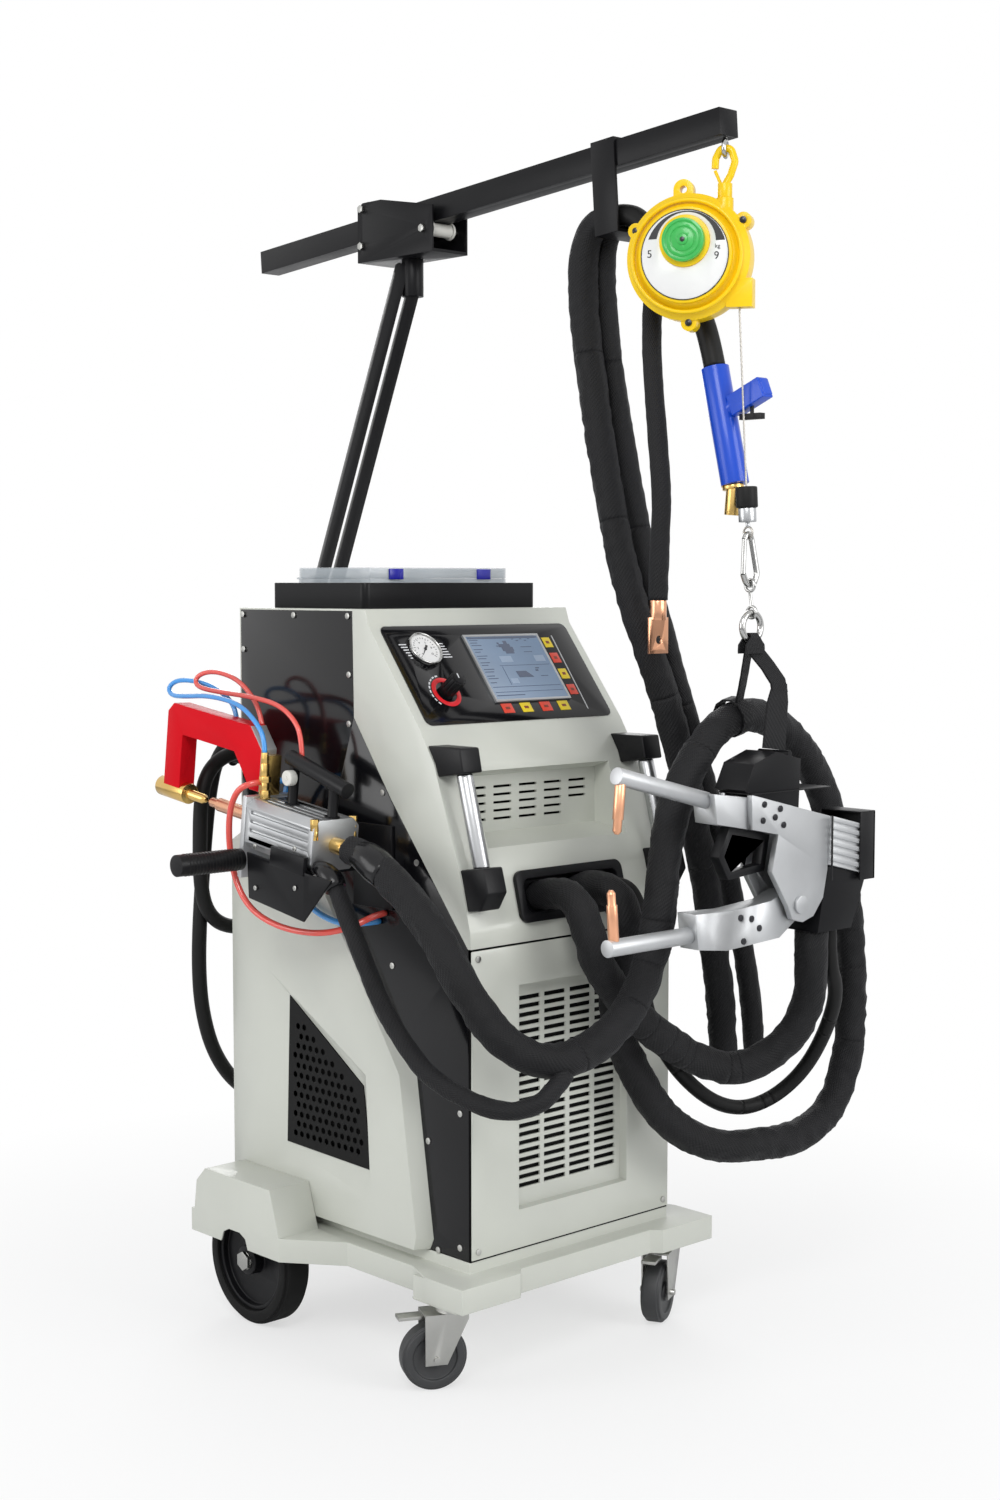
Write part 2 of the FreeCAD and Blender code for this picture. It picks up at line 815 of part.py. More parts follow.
def chassis_base():
    outline = base_outline()
    pan = slab_z(outline, base_bottom_z, base_top_z)
    pan = pan.cut(slab_z(inset(outline, pan_wall), base_bottom_z - overrun, base_top_z - pan_wall))
    plinth = box(-plinth_half, plinth_half, plinth_front_y, plinth_rear_y, base_top_z, cabinet_floor_z)
    body = fuse(pan, plinth)
    fender = slab_x(fender_outline(), fender_inner, fender_half)
    cavity_front = wheel_y - wheel_radius - wheel_clearance / 2
    cavity_rear = wheel_y + wheel_radius + wheel_clearance
    cavity = [(cavity_front, base_bottom_z - overrun), (cavity_front, base_top_z),
              (cavity_front + fender_corner, fender_top_z - fender_wall),
              (cavity_rear - fender_corner, fender_top_z - fender_wall),
              (cavity_rear, fender_top_z - fender_wall - fender_corner), (cavity_rear, base_bottom_z - overrun)]
    hollow = slab_x(cavity, fender_inner + fender_wall, fender_half - fender_wall)
    notch_half = hub_notch_half
    notch_top = base_bottom_z + hub_notch_rise
    notch = slab_x([(hub_notch_y - notch_half, base_bottom_z - overrun),
                    (hub_notch_y - notch_half * 0.8, notch_top - notch_half * 0.2),
                    (hub_notch_y - notch_half * 0.4, notch_top), (hub_notch_y + notch_half * 0.4, notch_top),
                    (hub_notch_y + notch_half * 0.8, notch_top - notch_half * 0.2),
                    (hub_notch_y + notch_half, base_bottom_z - overrun)],
                   fender_half - fender_wall - overrun, fender_half + overrun)
    inner_z = base_top_z - pan_wall
    bracket = box(axle_bracket_x - axle_bracket_wall / 2, axle_bracket_x + axle_bracket_wall / 2,
                  wheel_y - axle_bracket_half, wheel_y + axle_bracket_half,
                  wheel_radius - axle_bracket_half * 0.7, inner_z)
    bore = rod((0, wheel_y, wheel_radius), (fender_half, wheel_y, wheel_radius), axle_radius + run_fit)
    block = box(caster_x - caster_plate_x / 2, caster_x + caster_plate_x / 2,
                caster_y - caster_plate_y / 2, caster_y + caster_plate_y / 2, inner_z - block_depth, inner_z)
    for shape in pair(fender):
        body = body.fuse(shape)
    for shape in pair(block) + pair(bracket):
        body = body.fuse(shape)
    for shape in pair(hollow) + pair(notch) + pair(bore):
        body = body.cut(shape)
    plate_top = inner_z - block_depth
    plate = box(caster_x - caster_plate_x / 2, caster_x + caster_plate_x / 2,
                caster_y - caster_plate_y / 2, caster_y + caster_plate_y / 2,
                plate_top - caster_plate_depth, plate_top)
    return group([body.removeSplitter()] + pair(plate))


def rear_axle():
    end = tyre_outer + overrun + axle_nut_depth
    shaft = rod((-end, wheel_y, wheel_radius), (end, wheel_y, wheel_radius), axle_radius)
    nut_start = tyre_outer + overrun + seat_gap
    nut = hexagon((nut_start, wheel_y, wheel_radius), (nut_start + axle_nut_depth, wheel_y, wheel_radius),
                  axle_nut_radius)
    collar_end = tyre_inner - overrun - seat_gap
    collar = rod((collar_end - axle_nut_depth, wheel_y, wheel_radius), (collar_end, wheel_y, wheel_radius),
                 axle_nut_radius - overrun)
    shapes = pair(nut) + pair(collar)
    return fuse(shaft, *shapes)


def rear_wheel():
    def ring(x0, x1, outer, inner):
        return pipe((x0, wheel_y, wheel_radius), (x1, wheel_y, wheel_radius), outer, inner)
    rim_radius = wheel_radius - tyre_thickness
    edge = tyre_thickness / 4
    tyre = fuse(ring(tyre_inner + edge, tyre_outer - edge, wheel_radius, rim_radius),
                ring(tyre_inner, tyre_outer, wheel_radius - edge, rim_radius))
    middle = (tyre_inner + tyre_outer) / 2
    rim = fuse(ring(tyre_inner + edge, tyre_outer - edge, rim_radius, rim_radius - rim_web),
               ring(middle - rim_web, middle + rim_web, rim_radius - rim_web / 2, hub_radius - rim_web),
               ring(tyre_inner - overrun, tyre_outer + overrun, hub_radius, axle_radius + run_fit))
    return [tyre, rim]


def caster_centre(trail_x, trail_y, side_sign):
    length = math.hypot(trail_x, trail_y)
    return (side_sign * caster_x + caster_trail * trail_x / length, caster_y + caster_trail * trail_y / length)


def caster_fork(side_sign, trail_x, trail_y):
    """The swivel race, two legs and a brake pedal, first trailing towards +X and then turned."""
    plate_foot = base_top_z - pan_wall - block_depth - caster_plate_depth
    race_top = plate_foot - seat_gap
    race_foot = race_top - race_depth
    race = rod((0, 0, race_foot), (0, 0, race_top), race_radius)
    crown = box(-race_radius / 2, caster_trail + fork_width / 2, -fork_gap - fork_wall, fork_gap + fork_wall,
                race_foot - fork_wall, race_foot)
    parts = [crown]
    leg_foot = caster_wheel_radius - bolt_head
    for y0, y1 in ((-fork_gap - fork_wall, -fork_gap), (fork_gap, fork_gap + fork_wall)):
        outline = [(-race_radius / 2, race_foot), (caster_trail + fork_width / 2, race_foot),
                   (caster_trail + fork_width / 2, leg_foot), (caster_trail - fork_width / 2, leg_foot),
                   (-race_radius / 2, race_foot - bolt_head)]
        parts.append(slab_y(outline, y0, y1))
    bolt = rod((caster_trail, -fork_gap - bolt_head, caster_wheel_radius),
               (caster_trail, fork_gap + bolt_head, caster_wheel_radius), caster_bolt_radius)
    fork = fuse(race, *parts, bolt)
    pedal_x = caster_trail + fork_width / 2
    pedal = box(pedal_x, pedal_x + pedal_reach, -pedal_width / 2, pedal_width / 2,
                race_foot - fork_wall - pedal_depth, race_foot - fork_wall)
    heading = math.degrees(math.atan2(trail_y, trail_x))
    solids = []
    for shape in (fork, pedal):
        solids.append(shifted(turned(shape, (0, 0, 0), (0, 0, 1), heading), side_sign * caster_x, caster_y, 0))
    return group(solids)


def caster_wheel(side_sign, trail_x, trail_y):
    half = caster_wheel_width / 2
    edge = half / 4
    bore = caster_bolt_radius + run_fit
    tread = fuse(pipe((0, -half + edge, 0), (0, half - edge, 0), caster_wheel_radius, bore),
                 pipe((0, -half, 0), (0, half, 0), caster_wheel_radius - edge, bore))
    for sign in (-1, 1):
        dish = pipe((0, sign * half, 0), (0, sign * (half - edge), 0), caster_wheel_radius * 0.68,
                    caster_wheel_radius * 0.3)
        tread = tread.cut(dish)
    heading = math.degrees(math.atan2(trail_y, trail_x))
    x, y = caster_centre(trail_x, trail_y, side_sign)
    return shifted(turned(tread, (0, 0, 0), (0, 0, 1), heading), x, y, caster_wheel_radius)


# Cabinet


def cabinet_frame():
    inner = cabinet_half - sheet
    front = cabinet_front_y + panel_sheet + seat_gap
    rear = cabinet_rear_y - rear_sheet - seat_gap
    deck_z = cabinet_floor_z + front_post_top_share * cabinet_height
    floor = box(-inner, inner, front, rear, cabinet_floor_z, cabinet_floor_z + sheet)
    deck = box(-inner, inner, front + post, rear, deck_z, deck_z + sheet)
    front_top = deck_z
    shapes = [floor]
    for x0 in (-inner, inner - post):
        shapes.append(box(x0, x0 + post, front, front + post, cabinet_floor_z, front_top))
        shapes.append(box(x0, x0 + post, rear - post, rear, cabinet_floor_z, cabinet_top_z))
        shapes.append(box(x0, x0 + post, post, 2 * post, cabinet_floor_z, cabinet_top_z))
        shapes.append(box(x0, x0 + post, front, rear, front_top - post, front_top))
        shapes.append(box(x0, x0 + post, post, rear, cabinet_top_z - post, cabinet_top_z))
    shapes.append(box(-inner, inner, rear - post, rear, cabinet_top_z - post, cabinet_top_z))
    shapes.append(box(-inner, inner, front, front + post, front_top - post, front_top))
    frame = shapes[0].multiFuse(shapes[1:])
    return group([frame, deck.cut(frame)])


def front_profile():
    return side_outline(front_profile_shares)


def moulding_block():
    return slab_x(front_profile(), -cabinet_half, cabinet_half)


def upper_moulding():
    outer = moulding_block()
    hollow = slab_x(front_profile(), -cabinet_half + wall, cabinet_half - wall)
    shell = outer.cut(shifted(hollow, 0, wall, -wall)).cut(shifted(hollow, 0, 3 * wall, -wall))
    recess = side_outline(vent_recess_shares)
    grown = slab_x(inset(recess, -wall), -vent_half - wall, vent_half + wall).common(outer)
    shell = shell.fuse(grown).cut(slab_x(recess, -vent_half, vent_half))
    back_y = side((recess_back_share, 0))[0]
    slots = []
    for column in range(vent_columns):
        x = (column - (vent_columns - 1) / 2) * vent_column_pitch
        for row in range(vent_rows):
            if column == vent_columns - 1 and row < 2:
                continue
            z = vent_first_z + row * vent_row_pitch
            slots.append(box(x - vent_slot_width / 2, x + vent_slot_width / 2, back_y - overrun,
                             back_y + wall + overrun, z, z + vent_slot_height))
    opening = on_console(box(-console_opening_half, console_opening_half,
                             console_opening_margin - console_length, -console_opening_margin,
                             -wall * 3, overrun))
    throat = on_outlet(rounded_box(outlet_half - outlet_inset + outlet_wall + seat_gap,
                                   outlet_height / 2 - outlet_inset + outlet_wall + seat_gap,
                                   outlet_corner, -outlet_sleeve, overrun))
    return shell.cut(opening).cut(throat).cut(group(slots))


def lower_front_panel():
    front = cabinet_front_y
    back = front + panel_sheet
    floor_y = front + panel_pan_depth
    plate = box(-panel_half, panel_half, front, back, panel_bottom_z, panel_top_z)
    pan = box(-panel_pan_half, panel_pan_half, back, floor_y + panel_sheet, panel_pan_bottom_z, panel_pan_top_z)
    recess = box(-panel_pan_half + panel_sheet, panel_pan_half - panel_sheet, front - overrun, floor_y,
                 panel_pan_bottom_z + panel_sheet, panel_pan_top_z - panel_sheet)
    slots = []
    for column in range(panel_slot_columns):
        x = (column - (panel_slot_columns - 1) / 2) * panel_slot_pitch_x
        for row in range(panel_slot_rows):
            z = panel_slot_first_z + row * panel_slot_pitch_z
            slots.append(box(x - panel_slot_width / 2, x + panel_slot_width / 2, floor_y - overrun,
                             floor_y + panel_sheet + overrun, z, z + panel_slot_height))
    return plate.fuse(pan).cut(recess).cut(group(slots)).removeSplitter()


def side_trims():
    outline = side_outline(trim_outline_shares)
    plate = slab_x(outline, cabinet_half - sheet, cabinet_half)
    window = slab_x(side_outline(pocket_floor_shares), cabinet_half - sheet - overrun, cabinet_half + overrun)
    return group(pair(plate.cut(window)))


def side_shells():
    foot = side_outline(shell_foot_shares)
    face = side_outline(shell_face_shares)
    shell = loft_x(foot, cabinet_half, face, shell_half)
    hollow = loft_x(inset(foot, wall), cabinet_half, inset(face, wall), shell_half - wall)
    shell = shell.cut(hollow)
    mouth = side_outline(pocket_mouth_shares)
    floor = side_outline(pocket_floor_shares)
    floor_x = shell_half - grille_depth
    grown = loft_x(inset(floor, -wall), floor_x - wall, inset(mouth, -wall), shell_half)
    pocket = loft_x(floor, floor_x, mouth, shell_half)
    window = slab_x(inset(floor, wall), floor_x - wall - overrun, floor_x + overrun)
    return group(pair(shell.fuse(grown).cut(pocket).cut(window).removeSplitter()))


def side_grilles():
    floor = inset(side_outline(pocket_floor_shares), seat_gap)
    floor_x = shell_half - grille_depth
    plate = slab_x(floor, floor_x, floor_x + grille_sheet)
    low_y = min(y for y, z in floor)
    low_z = min(z for y, z in floor)
    high_y = max(y for y, z in floor)
    high_z = max(z for y, z in floor)
    margin = inset(floor, grille_pitch)
    guard = face_of([V(floor_x, y, z) for y, z in margin])
    holes = []
    for row in range(int((high_z - low_z) / grille_pitch)):
        for column in range(int((high_y - low_y) / grille_pitch)):
            y = low_y + (column + 0.5 + 0.5 * (row % 2)) * grille_pitch
            z = low_z + (row + 0.5) * grille_pitch
            if not guard.isInside(V(floor_x, y, z), 0.01, True):
                continue
            holes.append(hexagon((floor_x - overrun, y, z), (floor_x + grille_sheet + overrun, y, z),
                                 grille_hole / 2))
    return group(pair(plate.cut(group(holes))))


def rear_top_cover():
    rear = cabinet_rear_y
    inner = rear - rear_sheet
    back = box(-cabinet_half, cabinet_half, inner, rear, cabinet_floor_z, cabinet_top_z)
    top_front = side((0.4815, 0))[0]
    lid = box(-cabinet_half, cabinet_half, top_front, rear, cabinet_top_z, cabinet_top_z + cover_sheet)
    shell = back.fuse(lid)
    slots = []
    for row in range(rear_slot_rows):
        z = rear_slot_first_z + row * rear_slot_pitch
        for sign in (-1, 1):
            x = sign * (rear_slot_half + post)
            slots.append(box(x - rear_slot_half, x + rear_slot_half, inner - overrun, rear + overrun,
                             z, z + rear_slot_height))
    shell = shell.cut(group(slots)).removeSplitter()
    boss = rod((inlet_x, rear, inlet_z), (inlet_x, rear + inlet_depth, inlet_z), inlet_outer)
    inlet = shell.fuse(boss).cut(rod((inlet_x, inner - overrun, inlet_z),
                                     (inlet_x, rear + inlet_depth + overrun, inlet_z), inlet_bore))
    gland = rod((cable_gland_x, rear, cable_gland_z), (cable_gland_x, rear + cable_gland_depth, cable_gland_z),
                cable_gland_radius)
    peg = fuse(rod((peg_x, rear, peg_z), (peg_x, peg_end_y, peg_z), peg_radius),
               rod((peg_x, peg_end_y, peg_z), (peg_x, peg_end_y + sheet, peg_z), peg_lip))
    return group([inlet.removeSplitter(), gland, peg])


# Console


def console_plate():
    top = -console_margin
    foot = console_margin - console_length
    corners = [V(-console_half, foot, 0), V(console_half, foot, 0), V(console_half, top, 0),
               V(-console_half, top, 0)]
    plate = rounded_outline(corners, console_corner).extrude(V(0, 0, console_sheet))
    window = box(screen_left - seat_gap, screen_right + seat_gap, -screen_foot_s - seat_gap,
                 -screen_top_s + seat_gap, -overrun, console_sheet + overrun)
    bore = rod((gauge_x, -gauge_s, -overrun), (gauge_x, -gauge_s, console_sheet + overrun), gauge_fit + seat_gap)
    shaft = rod((knob_x, -knob_s, -overrun), (knob_x, -knob_s, console_sheet + overrun),
                knob_shaft_radius + run_fit)
    plate = plate.cut(window).cut(bore).cut(shaft)
    collar = pipe((knob_x, -knob_s, console_sheet), (knob_x, -knob_s, console_sheet + key_proud),
                  knob_collar_radius, knob_collar_inner)
    keys = [collar]
    places = [(key_column_x, s, key_width, key_height) for s in key_column_s]
    places += [(x, key_row_s, key_row_width, key_row_height) for x in key_row_x]
    for x, s, width, height in places:
        keys.append(box(x - width / 2, x + width / 2, -s - height / 2, -s + height / 2, console_sheet,
                        console_sheet + key_proud))
    return group([on_console(shape) for shape in [plate] + keys])


def display_screen():
    body = box(screen_left, screen_right, -screen_foot_s, -screen_top_s, -screen_depth,
               console_sheet + screen_proud)
    face = box(screen_left + screen_lip, screen_right - screen_lip, -screen_foot_s + screen_lip,
               -screen_top_s - screen_lip, console_sheet + screen_proud - sheet / 2,
               console_sheet + screen_proud + overrun)
    return on_console(body.cut(face))


def pressure_gauge():
    stem = rod((gauge_x, -gauge_s, -gauge_depth), (gauge_x, -gauge_s, console_sheet), gauge_fit)
    bezel = rod((gauge_x, -gauge_s, console_sheet), (gauge_x, -gauge_s, console_sheet + gauge_proud), gauge_radius)
    dish = rod((gauge_x, -gauge_s, console_sheet + gauge_proud / 2),
               (gauge_x, -gauge_s, console_sheet + gauge_proud + overrun), gauge_fit)
    return on_console(fuse(stem, bezel).cut(dish))


def regulator_knob():
    base = console_sheet + seat_gap
    grip = rod((knob_x, -knob_s, base), (knob_x, -knob_s, base + knob_height), knob_radius)
    flutes = []
    for k in range(12):
        angle = math.pi * k / 6
        x = knob_x + knob_radius * math.cos(angle)
        y = -knob_s + knob_radius * math.sin(angle)
        flutes.append(rod((x, y, base + knob_height / 3), (x, y, base + knob_height + overrun), knob_radius / 9))
    shaft = rod((knob_x, -knob_s, -knob_height / 2), (knob_x, -knob_s, base), knob_shaft_radius)
    return on_console(fuse(grip.cut(group(flutes)), shaft))


def outlet_rim():
    opening_x = outlet_half - outlet_inset
    opening_y = outlet_height / 2 - outlet_inset
    bezel = rounded_box(outlet_half, outlet_height / 2, outlet_corner, 0, outlet_proud)
    sleeve = rounded_box(opening_x + outlet_wall, opening_y + outlet_wall, outlet_corner, -outlet_sleeve, 0)
    opening = rounded_box(opening_x, opening_y, outlet_corner - outlet_wall, -outlet_floor,
                          outlet_proud + overrun)
    behind = rounded_box(opening_x, opening_y, outlet_corner - outlet_wall, -outlet_sleeve - overrun,
                         -outlet_floor - outlet_wall)
    return on_outlet(fuse(bezel, sleeve).cut(opening).cut(behind))


def grab_handles():
    moulding = moulding_block()
    upper = slab_x(side_outline(handle_upper_shares), handle_x - handle_bracket_half,
                   handle_x + handle_bracket_half).cut(moulding)
    lower = slab_x(side_outline(handle_lower_shares), handle_x - handle_bracket_half,
                   handle_x + handle_bracket_half).cut(moulding)
    top = side(handle_top_shares)
    foot = side(handle_foot_shares)
    tube = rod((handle_x, top[0], top[1]), (handle_x, foot[0], foot[1]), handle_tube).cut(upper).cut(lower)
    solids = []
    for shape in (upper, lower, max(tube.Solids, key=lambda part: part.Volume)):
        solids += pair(shape)
    return group(solids)


def panel_screws():
    heads = []
    for share in trim_screw_shares:
        y, z = side(share)
        heads += pair(rod((cabinet_half, y, z), (cabinet_half + screw_head, y, z), screw_radius))
    for z in (panel_bottom_z + 3 * wall, panel_top_z - 3 * wall):
        heads += pair(rod((panel_half - 3 * wall, cabinet_front_y, z),
                          (panel_half - 3 * wall, cabinet_front_y - screw_head, z), screw_radius))
    for z in (cabinet_floor_z + 4 * wall, cabinet_top_z - 4 * wall):
        heads += pair(rod((cabinet_half - 3 * wall, cabinet_rear_y, z),
                          (cabinet_half - 3 * wall, cabinet_rear_y + screw_head, z), screw_radius))
    for x, z in trim_pairs():
        heads.append(rod((x, socket_saddle_y(), z), (x, socket_saddle_y() + screw_head, z), screw_radius))
    return group(heads)


def trim_pairs():
    reach = saddle_half - 2 * screw_radius
    return [(x, z) for x in (-reach, reach) for z in (saddle_low_z, saddle_high_z)]


def socket_saddle_y():
    return cabinet_rear_y + post / 2


def power_unit():
    deck_z = cabinet_floor_z + front_post_top_share * cabinet_height
    floor_z = cabinet_floor_z + sheet
    top_z = deck_z - seat_gap
    inverter = box(-inverter_half_x, inverter_half_x, inverter_front_y, inverter_rear_y,
                   top_z - inverter_height, top_z)
    for k in range(5):
        x = (k - 2) * inverter_half_x / 3
        inverter = inverter.cut(box(x - wall, x + wall, inverter_front_y - overrun, inverter_front_y + post,
                                    top_z - inverter_height, top_z - 4 * sheet))
    tank = box(-tank_half_x, tank_half_x, tank_front_y, tank_rear_y, floor_z, floor_z + tank_height)
    cap = rod((0, 0, floor_z + tank_height), (0, 0, floor_z + tank_height + tank_lift), tank_lift)
    return group([inverter, fuse(tank, cap)])


def tool_tray():
    foot = cabinet_top_z + cover_sheet
    middle = (tray_front_y + tray_rear_y) / 2
    half_y = (tray_rear_y - tray_front_y) / 2
    outer = rounded_box(tray_half, half_y, console_corner, foot, foot + tray_height)
    inner = rounded_box(tray_half - sheet, half_y - sheet, console_corner - sheet, foot + sheet,
                        foot + tray_height + overrun)
    return shifted(outer.cut(inner), 0, middle, 0)


def parts_box():
    foot = cabinet_top_z + cover_sheet + sheet
    body = box(-box_half, box_half, box_front_y, box_rear_y, foot, foot + box_height)
    hollow = box(-box_half + box_wall, box_half - box_wall, box_front_y + box_wall, box_rear_y - box_wall,
                 foot + box_wall, foot + box_height + overrun)
    body = body.cut(hollow)
    dividers = [box(x - box_wall / 2, x + box_wall / 2, box_front_y + box_wall, box_rear_y - box_wall,
                    foot + box_wall, foot + box_height - box_wall) for x in (-box_half / 3, box_half / 3)]
    hinge_z = foot + box_height
    hinge_y = box_rear_y + hinge_radius
    shapes = [body] + dividers
    for x in (-box_half * 2 / 3, box_half * 2 / 3):
        shapes.append(rod((x - latch_half, hinge_y, hinge_z), (x + latch_half, hinge_y, hinge_z),
                          hinge_radius - seat_gap))
        shapes.append(box(x - latch_half, x + latch_half, box_rear_y - box_wall / 2, hinge_y,
                          hinge_z - hinge_radius * 0.8, hinge_z - hinge_radius * 0.4))
    pin = rod((-box_half, hinge_y, hinge_z), (box_half, hinge_y, hinge_z), hinge_pin)
    return fuse(*shapes).fuse(pin)


def parts_box_lid():
    foot = cabinet_top_z + cover_sheet + sheet + box_height
    base = foot + seat_gap
    lid = box(-box_half, box_half, box_front_y, box_rear_y - hinge_radius / 2, base, base + lid_height)
    hollow = box(-box_half + box_wall, box_half - box_wall, box_front_y + box_wall,
                 box_rear_y - hinge_radius / 2 - box_wall, base - overrun, base + lid_height - box_wall)
    hinge_y = box_rear_y + hinge_radius
    shapes = [lid.cut(hollow)]
    bores = []
    for x in (-box_half / 3, box_half / 3):
        shapes.append(rod((x - latch_half, hinge_y, foot), (x + latch_half, hinge_y, foot),
                          hinge_radius - seat_gap))
        shapes.append(box(x - latch_half, x + latch_half, box_rear_y - hinge_radius, hinge_y,
                          foot + hinge_radius * 0.4, foot + hinge_radius * 0.8))
        bores.append(rod((x - 2 * latch_half, hinge_y, foot), (x + 2 * latch_half, hinge_y, foot),
                         hinge_pin + run_fit))
    body = fuse(*shapes).cut(group(bores))
    latches = [box(x - latch_half, x + latch_half, box_front_y - latch_depth, box_front_y,
                   base + lid_height - latch_height, base + lid_height - box_wall) for x in (-latch_x, latch_x)]
    return group([body] + latches)

# Mast


def mast_socket():
    tube = pipe((0, mast_y, socket_bottom_z), (0, mast_y, socket_top_z), socket_radius, pin_radius + run_fit)
    saddles = []
    for z in (saddle_low_z, saddle_high_z):
        block = box(-saddle_half, saddle_half, cabinet_rear_y, socket_saddle_y(), z - saddle_height / 2,
                    z + saddle_height / 2)
        saddles.append(block.cut(rod((0, mast_y, z - saddle_height), (0, mast_y, z + saddle_height),
                                     pin_radius + run_fit)))
    return fuse(tube, *saddles)


def leg_box(foot_x, foot_z, head_x, head_z):
    """A square tube from a foot to a head in the plane of the lean."""
    length = math.hypot(head_x - foot_x, head_z - foot_z)
    long_leg = box(-leg / 2, leg / 2, -leg / 2, leg / 2, -leg, length + leg)
    slope = math.degrees(math.atan2(head_x - foot_x, head_z - foot_z))
    return shifted(turned(long_leg, (0, 0, 0), (0, 1, 0), slope), foot_x, 0, foot_z)


def mast_frame():
    flange_z = socket_top_z + seat_gap
    pin = rod((0, 0, pin_bottom_z), (0, 0, flange_z), pin_radius)
    flange = box(-flange_x / 2, flange_x / 2, -flange_y / 2, flange_y / 2, flange_z, flange_z + flange_depth)
    rear_leg = leg_box(leg_rear_foot, leg_foot_z, leg_rear_head, leg_rear_head_z)
    rear_leg = rear_leg.common(box(-sleeve_reach, sleeve_reach, -flange_y, flange_y, flange_z, leg_rear_head_z))
    front_leg = leg_box(leg_front_foot, leg_foot_z, leg_front_head, leg_front_head_z)
    front_leg = front_leg.common(box(-sleeve_reach, 2 * sleeve_reach, -flange_y, flange_y, flange_z,
                                     sleeve_bottom_z))
    sleeve = rod((sleeve_reach, 0, sleeve_bottom_z), (sleeve_reach, 0, sleeve_top_z), sleeve_radius)
    bore = rod((sleeve_reach, 0, sleeve_bottom_z + seat_gap), (sleeve_reach, 0, sleeve_top_z + overrun),
               boom_pin_radius + run_fit)
    frame = fuse(pin, flange, rear_leg, front_leg, sleeve).cut(bore)
    return shifted(turned(frame, (0, 0, 0), (0, 0, 1), lean_angle), 0, mast_y, 0)


lean = math.radians(lean_angle)
sleeve_x = sleeve_reach * math.cos(lean)
sleeve_y = mast_y + sleeve_reach * math.sin(lean)

# Boom

beam_slope = (beam_front_z - beam_rear_z) / (beam_rear_y - beam_front_y)
beam_angle = -math.degrees(math.atan(beam_slope))
beam_half_height = beam_side / 2 * math.hypot(1, beam_slope)


def beam_z(y):
    return beam_rear_z + (beam_rear_y - y) * beam_slope


def on_beam(shape, y):
    """From the beam's own frame (x, along it to the rear, up) to its place at Y."""
    return shifted(turned(shape, (0, 0, 0), (1, 0, 0), beam_angle), beam_x, y, beam_z(y))


def roller_places():
    reach = beam_half_height + roller_radius + seat_gap
    return [(roller_rear_y, beam_z(roller_rear_y) + reach), (roller_rear_y, beam_z(roller_rear_y) - reach),
            (roller_front_y, beam_z(roller_front_y) - reach)]


def boom_bracket():
    near = [(bracket_front_y, bracket_bottom_z), (bracket_rear_y, bracket_bottom_z),
            (bracket_rear_y, bracket_top_z - bracket_chamfer / 2),
            (bracket_rear_y - bracket_chamfer, bracket_top_z),
            (bracket_rear_y - bracket_chamfer - bracket_flat, bracket_top_z), (bracket_front_y, bracket_front_z)]
    far = near[:-1] + [(bracket_front_y, far_front_z)]
    base = box(bracket_left_x, bracket_right_x, bracket_front_y, bracket_rear_y, bracket_bottom_z,
               bracket_bottom_z + bracket_bottom_sheet)
    shapes = [slab_x(near, bracket_left_x, bracket_left_x + bracket_sheet),
              slab_x(far, bracket_right_x - bracket_sheet, bracket_right_x), base,
              rod((sleeve_x, sleeve_y, sleeve_bottom_z + 2 * seat_gap), (sleeve_x, sleeve_y, bracket_bottom_z),
                  boom_pin_radius)]
    bracket = fuse(*shapes)
    for y, z in roller_places():
        bracket = bracket.cut(rod((bracket_left_x - overrun, y, z), (bracket_right_x + overrun, y, z),
                                  roller_bolt + run_fit))
    return bracket


def bracket_rollers():
    inner = beam_side / 2 + roller_side_gap
    solids = []
    for y, z in roller_places():
        barrel = rod((beam_x - inner, y, z), (beam_x + inner, y, z), roller_radius)
        shapes = [barrel]
        for sign in (-1, 1):
            shapes.append(rod((beam_x + sign * inner, y, z), (beam_x + sign * (inner + roller_flange_depth), y, z),
                              roller_flange))
        shapes.append(rod((bracket_left_x - roller_head_depth, y, z), (bracket_right_x + roller_head_depth, y, z),
                          roller_bolt))
        shapes.append(hexagon((bracket_left_x - roller_head_depth, y, z), (bracket_left_x, y, z), roller_head))
        shapes.append(hexagon((bracket_right_x, y, z), (bracket_right_x + roller_head_depth, y, z), roller_head))
        solids.append(fuse(*shapes))
    return group(solids)


def boom_beam():
    length = math.hypot(beam_rear_y - beam_front_y, beam_front_z - beam_rear_z)
    half = beam_side / 2
    inner = half - beam_wall
    tube = box(-half, half, -length, 0, -half, half)
    tube = tube.cut(box(-inner, inner, beam_wall - length, -beam_wall, -inner, inner))
    tube = on_beam(tube, beam_rear_y)
    under = beam_z(eye_y) - beam_half_height
    stem = rod((beam_x, eye_y, under - eye_drop + eye_radius - eye_wire / 2), (beam_x, eye_y, beam_z(eye_y)),
               eye_wire)
    ring = Part.makeTorus(eye_radius, eye_wire, V(0, 0, 0), V(1, 0, 0))
    ring = shifted(turned(ring, (0, 0, 0), (0, 0, 1), balancer_turn), beam_x, eye_y, under - eye_drop)
    eye = fuse(stem, ring)
    return group([tube.cut(eye), eye])


